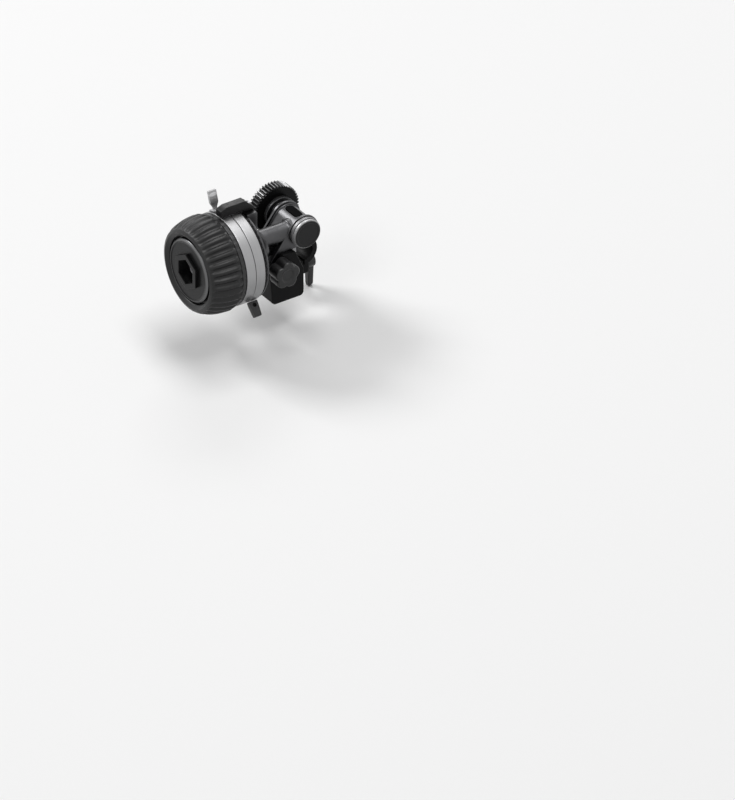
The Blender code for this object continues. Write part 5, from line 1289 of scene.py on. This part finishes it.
class FOLLOWFOCUS_OT_cap(Operator):
    """Turned collar and cap at the viewer's end of the cross head, and the bare inlay on top"""

    bl_idname = "followfocus.cap"
    bl_label = "Collar, cap and inlay"

    def execute(self, context):
        inner = SPIGOT_RADIUS + SEAT
        collar_end = -HEAD_FRONT - SEAT
        collar_start = collar_end - COLLAR_LENGTH + SEAT
        ring = rounded(tube_profile(collar_start, collar_end, inner, COLLAR_RADIUS), CAP_EDGE / 2)
        collar = solid("turned_collar", turned(ring, LARGE_STEPS, hollow=True), OUTPUT)
        deliver(collar, "end_collar", "grey_collar")
        rear = collar_start - SEAT
        front = rear - CAP_LENGTH
        dish = CAP_RADIUS - 3 * CAP_EDGE
        line = [
            (front + CAP_STEP, 0),
            (front + CAP_STEP, dish),
            (front, dish + CAP_STEP),
            (front, CAP_RADIUS - CAP_EDGE),
            (front + CAP_EDGE, CAP_RADIUS),
            (rear, CAP_RADIUS),
            (rear, inner),
            (front + CAP_FACE - SEAT, inner),
            (front + CAP_FACE - SEAT, 0),
        ]
        line = rounded(line, SMALL_EDGE, loop=False)
        cap = solid("turned_cap", turned(line, LARGE_STEPS), OUTPUT)
        deliver(cap, "end_cap", "black_cap")
        plate = inlay_solid("bare_inlay", 0.0, HEAD_RADIUS - INLAY_HEIGHT, HEAD_RADIUS + SEAT)
        soften(plate, INLAY_EDGE)
        deliver(plate, "top_inlay", "black_gloss")
        return {"FINISHED"}


class FOLLOWFOCUS_OT_pointer(Operator):
    """Index pointer over the stop rings and the screw that holds it"""

    bl_idname = "followfocus.pointer"
    bl_label = "Index pointer"

    def execute(self, context):
        under = STOP_RING_RADIUS + POINTER_CLEARANCE
        heel = LUG_TOP + SEAT
        heel_start = FLANGE_START + FLANGE_EDGE
        front = -POINTER_FRONT
        flat_end = front + POINTER_LENGTH
        side = [
            (under, front),
            (POINTER_TOP - POINTER_NOSE_DROP, front),
            (POINTER_TOP, front + POINTER_NOSE),
            (POINTER_TOP, flat_end),
            (heel + POINTER_HEEL, flat_end + POINTER_SLOPE_LENGTH),
            (heel, flat_end + POINTER_SLOPE_LENGTH),
            (heel, heel_start),
            (under, heel_start),
        ]
        half = POINTER_WIDTH / 2
        block = prism([(station, radius) for radius, station in side], -half, half)
        block.transform(look_along((0, 1, 0), (0, 0, 1)))
        pointer = soften(solid("pointer_block", block, WHEEL), POINTER_EDGE)
        place, sizes, well = pointer_screw()
        size = NOTCH_RADIUS
        mark = prism([(-size, size), (0, 0), (size, size), (0, size / 2)], -NOTCH_DEPTH, OVERRUN)
        start = Matrix.Translation((POINTER_TOP, 0, front + POINTER_NOSE + 2 * size))
        mark.transform(start @ look_along((1, 0, 0), (0, 1, 0)))
        cut(pointer, well, solid("notch", mark, WHEEL))
        deliver(pointer, "index_pointer", "black_pointer")
        socket_screw("index_screw", "pointer_screw", place, sizes)
        return {"FINISHED"}


# Drive gear


def flank(teeth):
    """Half angles of an involute tooth at five heights, as (radius, angle) from root to tip."""
    pitch = teeth * DRIVE_MODULE / 2
    base = pitch * math.cos(PRESSURE_ANGLE)
    tip = pitch + DRIVE_MODULE
    root = pitch - DEDENDUM_SHARE * DRIVE_MODULE
    rolled = math.tan(PRESSURE_ANGLE) - PRESSURE_ANGLE
    half_pitch = math.pi / (2 * teeth) - BACKLASH / (2 * pitch)
    low = max(root, base)
    points = []
    for step in range(5):
        radius = low + (tip - low) * step / 4
        lean = math.acos(min(1.0, base / radius))
        points.append((radius, half_pitch + rolled - (math.tan(lean) - lean)))
    if root < base:
        points[0] = (root, points[0][1])
    return points


class FOLLOWFOCUS_OT_gear(Operator):
    """Drive gear, one involute tooth to a sector, with its collar, washer and nut"""

    bl_idname = "followfocus.gear"
    bl_label = "Drive gear"

    def execute(self, context):
        teeth = context.scene.follow_focus_gear.teeth
        collar_start = HEAD_BACK + 2 * SEAT
        start = collar_start + GEAR_COLLAR_LENGTH + SEAT
        end = start + DRIVE_WIDTH
        face = end - GEAR_RECESS_DEPTH
        points = flank(teeth)
        pitch_angle = math.tau / teeth
        rows = [(-angle / pitch_angle, radius) for radius, angle in points]
        rows += [(angle / pitch_angle, radius) for radius, angle in reversed(points)]
        rows = [(-0.5, points[0][0]), *rows, (0.5, points[0][0])]
        crest = points[-1][0] - DRIVE_EDGE
        reach = dict(rows)

        def section(share):
            radius = reach[share]
            low = min(radius, crest)
            return [
                (start, GEAR_BORE),
                (face, GEAR_BORE),
                (face, GEAR_RECESS_RADIUS),
                (end - SMALL_EDGE, GEAR_RECESS_RADIUS),
                (end, GEAR_RECESS_RADIUS + SMALL_EDGE),
                (end, low),
                (end - DRIVE_EDGE, radius),
                (start + DRIVE_EDGE, radius),
                (start, low),
            ]

        wedge = sector(teeth, [share for share, _ in rows], section, hollow=True)
        round_axis("toothed_gear", "drive_gear", teeth, wedge, OUTPUT, "gear_black", TOOTH_ANGLE)
        step = COLLAR_STEP_RADIUS - COLLAR_NECK_RADIUS
        line = [
            (collar_start + along * GEAR_COLLAR_LENGTH, COLLAR_NECK_RADIUS + out * step)
            for along, out in GEAR_COLLAR_SHARES
        ]
        line += [(collar_start + GEAR_COLLAR_LENGTH, GEAR_BORE), (collar_start, GEAR_BORE)]
        line = rounded(line, SMALL_EDGE)
        collar = solid("stepped_collar", turned(line, LARGE_STEPS, hollow=True), OUTPUT)
        deliver(collar, "gear_collar", "dark_casting")
        low = face + SEAT
        line = tube_profile(low, low + WASHER_THICKNESS, WASHER_BORE, WASHER_RADIUS)
        line = rounded(line, SMALL_EDGE)
        washer = solid("flat_washer", turned(line, MEDIUM_STEPS, hollow=True), OUTPUT)
        deliver(washer, "gear_washer", "bright_steel")
        low += WASHER_THICKNESS + SEAT
        hexes = tube_profile(low, low + NUT_HEIGHT, WASHER_BORE, NUT_ACROSS / 2)
        hexes = rounded(hexes, SMALL_EDGE)
        cone = NUT_ACROSS / math.sqrt(3) + SMALL_EDGE

        def nut_section(share):
            grow = 1 / math.cos(share * math.pi / 3)
            line = []
            for station, radius in hexes:
                wide = radius * grow if radius > WASHER_BORE + SMALL_EDGE else radius
                depth = min(station - low, low + NUT_HEIGHT - station)
                line.append((station, min(wide, cone - SMALL_EDGE * 2 + depth)))
            return line

        wedge = sector(HEX_SIDES, even_shares(NUT_STEPS), nut_section, hollow=True)
        round_axis("hexagon_nut", "gear_nut", HEX_SIDES, wedge, OUTPUT, "bright_steel")
        return {"FINISHED"}


# Base block, rail and clamp


def block_outline():
    """Upright (X, Z) outline of the base block, from the gear axis."""
    top = -(SEAT_DROP + DRIVE_LIFT + SEAT)
    left = BLOCK_LEFT - GEAR_REACH
    low = top - BLOCK_HEIGHT
    direction, touch = tail_line(RIM_RADIUS)
    inner = touch - touch * ((HOOK_STRIP + SEAT) / RIM_RADIUS)
    high = along_line(inner, direction, top)
    side = inner + direction * ((left - inner.x) / direction.x)
    shoulder = left + BLOCK_TOP_LENGTH + BLOCK_SHOULDER
    outline = [(side.x, side.y)]
    corners = (left + BLOCK_TAPER + BLOCK_CORNER, math.pi), (shoulder - BLOCK_CORNER, math.pi * 1.5)
    for x, start in corners:
        corner = (x, low + BLOCK_CORNER)
        outline += arc(corner, BLOCK_CORNER, start, start + math.pi / 2, SMALL_STEPS // 4)
    right = left + BLOCK_TOP_LENGTH
    return outline + [(shoulder, top - BLOCK_SHOULDER_DROP), (right, top), (high.x, high.y)]


ALONG_RAIL = Matrix.Translation((0, RAIL_DROP + DRIVE_LIFT, 0)) @ look_along((1, 0, 0), (0, 1, 0))


def dovetail(clearance, low, high, back):
    """Dovetail section as (Z, Y) points, wide side towards the viewer."""
    mouth = RAIL_MOUTH / 2 + clearance
    wide = RAIL_WIDTH / 2 + clearance
    low -= clearance
    return [(-wide, low), (wide, low), (mouth, high), (mouth, back), (-mouth, back), (-mouth, high)]


def block_screw_places():
    """Places of the two screws that hold the casting on the block."""
    top = -(SEAT_DROP + DRIVE_LIFT + SEAT)
    x = BLOCK_LEFT - GEAR_REACH + BLOCK_SCREW_SHARE * BLOCK_TOP_LENGTH
    head = 2 * BLOCK_SCREW_GRIP - top
    return [
        OUTPUT @ Matrix.Translation((x, head, station)) @ look_along((0, 1, 0), (1, 0, 0))
        for station in BLOCK_SCREW_STATIONS
    ]


def block_screw_sizes(length):
    return BLOCK_SCREW_RADIUS, length, BLOCK_SCREW_HEAD, BLOCK_SCREW_HEAD_HEIGHT


def block_wells():
    sizes = block_screw_sizes(3 * BLOCK_SCREW_GRIP - SEAT)
    return [screw_well("block_well", place, sizes, BLOCK_HEIGHT) for place in block_screw_places()]


class FOLLOWFOCUS_OT_block(Operator):
    """Base block with its dovetail channel, and its two screws from below"""

    bl_idname = "followfocus.block"
    bl_label = "Base block"

    def execute(self, context):
        back = BLOCK_DEPTH - BLOCK_FRONT
        block = soften(upright("base", block_outline(), -BLOCK_FRONT, back), BLOCK_EDGE)
        groove_floor = back - RAIL_DEPTH
        section = dovetail(RAIL_CLEARANCE, groove_floor, back, back + OVERRUN)
        channel = prism(section, -GEAR_REACH, GEAR_REACH)
        channel.transform(ALONG_RAIL)
        hole = prism(circle(LOCK_HOLE, SMALL_STEPS), -BLOCK_FRONT - OVERRUN, groove_floor)
        pocket = prism(circle(PAD_POCKET, SMALL_STEPS), groove_floor - PAD_REACH, groove_floor)
        cut(
            block,
            solid("channel", channel, OUTPUT),
            solid("lock_hole", hole, KNOB),
            solid("pad_pocket", pocket, KNOB),
            *block_wells(),
        )
        deliver(block, "slide_block", "black_block", CAST_ANGLE)
        sizes = block_screw_sizes(3 * BLOCK_SCREW_GRIP - SEAT)
        for number, place in enumerate(block_screw_places(), 1):
            socket_screw(f"base_screw_{number}", f"block_screw_{number}", place, sizes)
        return {"FINISHED"}


class FOLLOWFOCUS_OT_knob(Operator):
    """Lock knob, one lobe to a sector"""

    bl_idname = "followfocus.knob"
    bl_label = "Lock knob"

    def execute(self, context):
        lobes = context.scene.follow_focus_gear.lobes
        face = -BLOCK_FRONT - SEAT
        front = face - KNOB_DEPTH

        def section(share):
            wave = math.sqrt(math.cos(math.pi * share) ** 2 + (KNOB_EDGE / KNOB_RADIUS) ** 2)
            lobe = (1 - KNOB_VALLEY_SHARE) * wave**KNOB_FULLNESS
            radius = min(1.0, KNOB_VALLEY_SHARE + lobe) * KNOB_RADIUS
            line = [
                (face - LOCK_SCREW_GRIP, 0),
                (face - LOCK_SCREW_GRIP, LOCK_HOLE),
                (face, LOCK_HOLE),
                (face, radius),
                (front, radius),
                (front, KNOB_DISH_RADIUS),
                (front + KNOB_DISH_DEPTH, KNOB_DISH_RADIUS - KNOB_DISH_DEPTH),
                (front + KNOB_DISH_DEPTH, 0),
            ]
            return rounded(line, KNOB_EDGE, loop=False, steps=6)

        wedge = sector(lobes, even_shares(KNOB_STEPS), section)
        place = KNOB @ Matrix.Rotation(KNOB_TURN, 4, "Z")
        round_axis("lobed_knob", "lock_knob", lobes, wedge, place, "black_moulded", SMOOTH_ANGLE)
        return {"FINISHED"}


class FOLLOWFOCUS_OT_mount(Operator):
    """Split rod clamp with its arm, the dovetail rail and its screws"""

    bl_idname = "followfocus.mount"
    bl_label = "Rod mount"

    def execute(self, context):
        back = BLOCK_DEPTH - BLOCK_FRONT
        drop = RAIL_DROP + DRIVE_LIFT
        rail_low = back - RAIL_DEPTH + RAIL_CLEARANCE
        rail_foot = CLAMP_FRONT - SEAT - RAIL_FOOT + RAIL_CLEARANCE
        section = dovetail(0, rail_low, back, rail_foot)[:3]
        section += [
            (RAIL_MOUTH / 2, back + SEAT),
            (RAIL_WIDTH / 2, back + SEAT),
            (RAIL_WIDTH / 2, CLAMP_FRONT - SEAT),
        ]
        section += [(-x, y) for x, y in reversed(section[3:])] + [(-RAIL_MOUTH / 2, back)]
        start = RAIL_START - GEAR_REACH
        rail_body = prism(section, start, start + RAIL_LENGTH)
        rail_body.transform(ALONG_RAIL)
        rail = soften(solid("slide_rail", rail_body, OUTPUT), SMALL_EDGE)
        rod = x, z = (ROD_REACH, GEAR_Z)
        arm_outline = [
            (start, drop - ARM_HALF_HEIGHT),
            (start, drop + ARM_HALF_HEIGHT),
            (x, z + CLAMP_RADIUS / 2),
            (x, drop - ARM_HALF_HEIGHT),
        ]
        arm = solid("arm", prism(arm_outline, CLAMP_FRONT, CLAMP_FRONT + ARM_THICKNESS), OUTPUT)
        soften(arm, ARM_FILLET / 2)
        end = CLAMP_FRONT + CLAMP_LENGTH
        ring = prism(circle(CLAMP_RADIUS, MEDIUM_STEPS, centre=rod), CLAMP_FRONT, end)
        body = soften(solid("split_clamp", ring, OUTPUT), RIM_EDGE)
        outline = box_outline(x - EAR_HALF_WIDTH, x + EAR_HALF_WIDTH, z, z + EAR_DROP)
        ears = solid("ears", prism(outline, CLAMP_FRONT + ARM_FILLET, end - ARM_FILLET), OUTPUT)
        soften(ears, ARM_FILLET)
        join(body, ears, arm)
        ends = (CLAMP_FRONT - OVERRUN, end + OVERRUN)
        bore = solid("rod_bore", prism(circle(ROD_BORE, MEDIUM_STEPS, centre=rod), *ends), OUTPUT)
        gap = box_outline(x - SLIT / 2, x + SLIT / 2, z, z + EAR_DROP + OVERRUN)
        slit = solid("slit", prism(gap, *ends), OUTPUT)
        reach = 2 * EAR_HALF_WIDTH
        hole = turned(rod_profile(-reach, reach, CLAMP_SCREW_RADIUS + 2 * RUN), SMALL_STEPS)
        cut(body, bore, slit, solid("hole", hole, CLAMP))
        head = rail_low + BLOCK_SCREW_HEAD_HEIGHT + 2 * SEAT
        length = CLAMP_FRONT + ARM_THICKNESS - head - RAIL_CLEARANCE
        for number, share in enumerate(RAIL_SCREW_SHARES, 1):
            station = Matrix.Translation((start + share * RAIL_LENGTH, drop, head))
            place = OUTPUT @ station @ Matrix.Rotation(math.pi, 4, "X")
            for item in (rail, body):
                sizes = block_screw_sizes(length)
                cut(item, screw_well("rail_well", place, sizes, 2 * RAIL_DEPTH))
            sizes = block_screw_sizes(length - RAIL_CLEARANCE)
            socket_screw(f"slide_screw_{number}", f"rail_screw_{number}", place, sizes)
        deliver(rail, "dovetail_rail", "bright_steel")
        deliver(body, "rod_clamp_body", "black_block")
        return {"FINISHED"}


class FOLLOWFOCUS_OT_clamp_lever(Operator):
    """Clamp screw and the lever that turns it"""

    bl_idname = "followfocus.clamp_lever"
    bl_label = "Clamp lever"

    def execute(self, context):
        hub_start = EAR_HALF_WIDTH + SEAT
        end = hub_start + LEVER_HUB_LENGTH
        line = rounded(rod_profile(hub_start, end, LEVER_HUB_RADIUS), LEVER_ARM_EDGE, loop=False)
        lever = solid("wing_lever", turned(line, MEDIUM_STEPS), CLAMP)
        tip = LEVER_ARM_WIDTH / 2 * LEVER_ARM_TIP_SHARE
        centre = (tip - LEVER_ARM_LENGTH, 0)
        outline = arc(centre, tip, math.pi / 2, math.pi * 1.5, SMALL_STEPS // 2)
        outline += [(0, -LEVER_ARM_WIDTH / 2), (0, LEVER_ARM_WIDTH / 2)]
        arm = solid("arm", prism(outline, hub_start + LEVER_HUB_LENGTH / 4, end - SEAT), CLAMP)
        join(lever, soften(arm, LEVER_ARM_EDGE))
        screw_end = end - OVERRUN
        line = rod_profile(hub_start - OVERRUN, screw_end + SEAT, CLAMP_SCREW_RADIUS + SEAT)
        cut(lever, solid("hole", turned(line, SMALL_STEPS), CLAMP))
        deliver(lever, "clamp_lever", "black_moulded")
        station = Matrix.Translation((0, 0, -EAR_HALF_WIDTH - SEAT))
        place = CLAMP @ station @ Matrix.Rotation(math.pi, 4, "X")
        length = screw_end + EAR_HALF_WIDTH + SEAT
        sizes = (CLAMP_SCREW_RADIUS, length, CLAMP_SCREW_HEAD, CLAMP_SCREW_HEAD_HEIGHT)
        socket_screw("lever_screw", "clamp_screw", place, sizes)
        return {"FINISHED"}


INNER_FINISHES = {
    "dark_casting": ("bearing_plate",),
    "black_turned": ("wheel_core",),
    "bright_steel": (
        "hub_bolt", "wheel_shaft", "ring_gear", "layshaft", "output_shaft",
        "shaft_circlip", "lock_screw", "plate_screw_1", "plate_screw_2", "plate_screw_3",
    ),
    "turned_brass": (
        "friction_washer", "layshaft_pinion", "driving_bevel", "driven_bevel", "input_bush",
        "layshaft_bush_front", "layshaft_bush_rear", "output_bush_front", "output_bush_rear",
        "lock_pad",
    ),
}


class FOLLOWFOCUS_OT_inner_train(Operator):
    """Finishes of the shafts, bushes and gears inside"""

    bl_idname = "followfocus.inner_train"
    bl_label = "Inner train"

    def execute(self, context):
        for name, nodes in INNER_FINISHES.items():
            for node in nodes:
                mesh = frame["nodes"][node].data
                mesh.materials.clear()
                mesh.materials.append(finish(name))
        return {"FINISHED"}


# Studio


def area_light(name, power, size, place, aim):
    lamp = bpy.data.lights.new(name, "AREA")
    lamp.energy = power
    lamp.shape = "RECTANGLE"
    lamp.size, lamp.size_y = size
    item = bpy.data.objects.new(name, lamp)
    bpy.context.collection.objects.link(item)
    item.location = place
    item.rotation_euler = (Vector(aim) - Vector(place)).to_track_quat("-Z", "Y").to_euler()


def white_behind(strength):
    """A world that lights softly, and is white where it is seen, directly or in a reflection."""
    world = bpy.data.worlds.new("studio")
    world.use_nodes = True
    bpy.context.scene.world = world
    tree = world.node_tree
    background = tree.nodes["Background"]
    background.inputs["Color"].default_value = (1.0, 1.0, 1.0, 1.0)
    rays = tree.nodes.new("ShaderNodeLightPath").outputs
    seen = rays["Is Camera Ray"]
    for kind in ("Is Glossy Ray", "Is Transmission Ray"):
        seen = add_node(tree, "ShaderNodeMath", {0: seen, 1: rays[kind]}, operation="MAXIMUM")
    fed = {"Value": seen, "To Min": strength, "To Max": 1.0}
    level = add_node(tree, "ShaderNodeMapRange", fed)
    tree.links.new(level, background.inputs["Strength"])


def photo_camera(middle):
    """A long lens at the photograph's angle, framed as the photograph is."""
    level = math.cos(VIEW_ELEVATION)
    back = (math.sin(VIEW_AZIMUTH) * level, -math.cos(VIEW_AZIMUTH) * level)
    back = Vector((*back, math.sin(VIEW_ELEVATION)))
    right = Vector((math.cos(VIEW_AZIMUTH), math.sin(VIEW_AZIMUTH), 0))
    up = back.cross(right)
    width, height = PHOTO_SIZE
    aim = -right * ((ORIGIN_PIXEL[0] - width / 2) / PIXELS_PER_METRE)
    aim -= up * ((height / 2 - ORIGIN_PIXEL[1]) / PIXELS_PER_METRE)
    aim += back * back.dot(middle - aim)
    camera = bpy.data.cameras.new("camera")
    camera.lens = camera.sensor_width * CAMERA_DISTANCE * PIXELS_PER_METRE / height
    camera.clip_end = 4 * CAMERA_DISTANCE
    item = bpy.data.objects.new("camera", camera)
    bpy.context.collection.objects.link(item)
    item.location = aim + back * CAMERA_DISTANCE
    item.rotation_euler = Matrix((right, up, back)).transposed().to_euler()
    bpy.context.scene.camera = item


class FOLLOWFOCUS_OT_stage(Operator):
    """Pale floor, soft studio light and the camera"""

    bl_idname = "followfocus.stage"
    bl_label = "Studio"

    def execute(self, context):
        stage = context.scene.follow_focus_stage
        low, high = (Vector(corner) for corner in CAD_BOUNDS)
        middle = (low + high) / 2
        half = FLOOR_SIZE / 2
        builder = bmesh.new()
        corners = box_outline(-half, half, -half, half)
        builder.faces.new([builder.verts.new((x, y, low.z - FLOOR_DROP)) for x, y in corners])
        floor = solid("floor", builder)
        looks = (stage.floor, FLOOR_ROUGHNESS, 0.0, FLOOR_SPECULAR)
        made, tree, shader = new_finish("pale_floor", *looks)
        cloud = noise(tree, located(tree, (0, 0, 0), (half, half, half)))
        mottle(tree, shader, cloud, stage.floor, FLOOR_SHADE)
        floor.data.materials.append(made)
        white_behind(stage.sky)
        for name, (place, size) in LAMPS.items():
            area_light(name, getattr(stage, name), size, place, middle)
        photo_camera(middle)
        context.scene.view_settings.view_transform = "Standard"
        return {"FINISHED"}


STEPS = (
    FOLLOWFOCUS_OT_grip,
    FOLLOWFOCUS_OT_rings,
    FOLLOWFOCUS_OT_hub,
    FOLLOWFOCUS_OT_lever_stop,
    FOLLOWFOCUS_OT_tab_stop,
    FOLLOWFOCUS_OT_casting,
    FOLLOWFOCUS_OT_cap,
    FOLLOWFOCUS_OT_pointer,
    FOLLOWFOCUS_OT_gear,
    FOLLOWFOCUS_OT_block,
    FOLLOWFOCUS_OT_knob,
    FOLLOWFOCUS_OT_mount,
    FOLLOWFOCUS_OT_clamp_lever,
    FOLLOWFOCUS_OT_inner_train,
    FOLLOWFOCUS_OT_stage,
)
SETTINGS = {
    "follow_focus_colours": FollowFocusColours,
    "follow_focus_wheel": FollowFocusWheel,
    "follow_focus_gear": FollowFocusGear,
    "follow_focus_stage": FollowFocusStage,
}


class FOLLOWFOCUS_PT_panel(Panel):
    """Sizes, colours and steps of the follow focus"""

    bl_idname = "FOLLOWFOCUS_PT_panel"
    bl_label = "Follow Focus"
    bl_space_type = "VIEW_3D"
    bl_region_type = "UI"
    bl_category = "Follow Focus"

    def draw(self, context):
        for name, group in SETTINGS.items():
            box = self.layout.box()
            for prop in group.__annotations__:
                box.prop(getattr(context.scene, name), prop)
        for step in STEPS:
            self.layout.operator(step.bl_idname)


def register():
    for kind in (*SETTINGS.values(), *STEPS, FOLLOWFOCUS_PT_panel):
        bpy.utils.register_class(kind)
    for name, group in SETTINGS.items():
        setattr(bpy.types.Scene, name, PointerProperty(type=group))


def unregister():
    for name in SETTINGS:
        delattr(bpy.types.Scene, name)
    for kind in reversed((*SETTINGS.values(), *STEPS, FOLLOWFOCUS_PT_panel)):
        bpy.utils.unregister_class(kind)


def main():
    register()
    for step in STEPS:
        group, action = step.bl_idname.split(".")
        getattr(getattr(bpy.ops, group), action)()


if __name__ == "__main__":
    main()
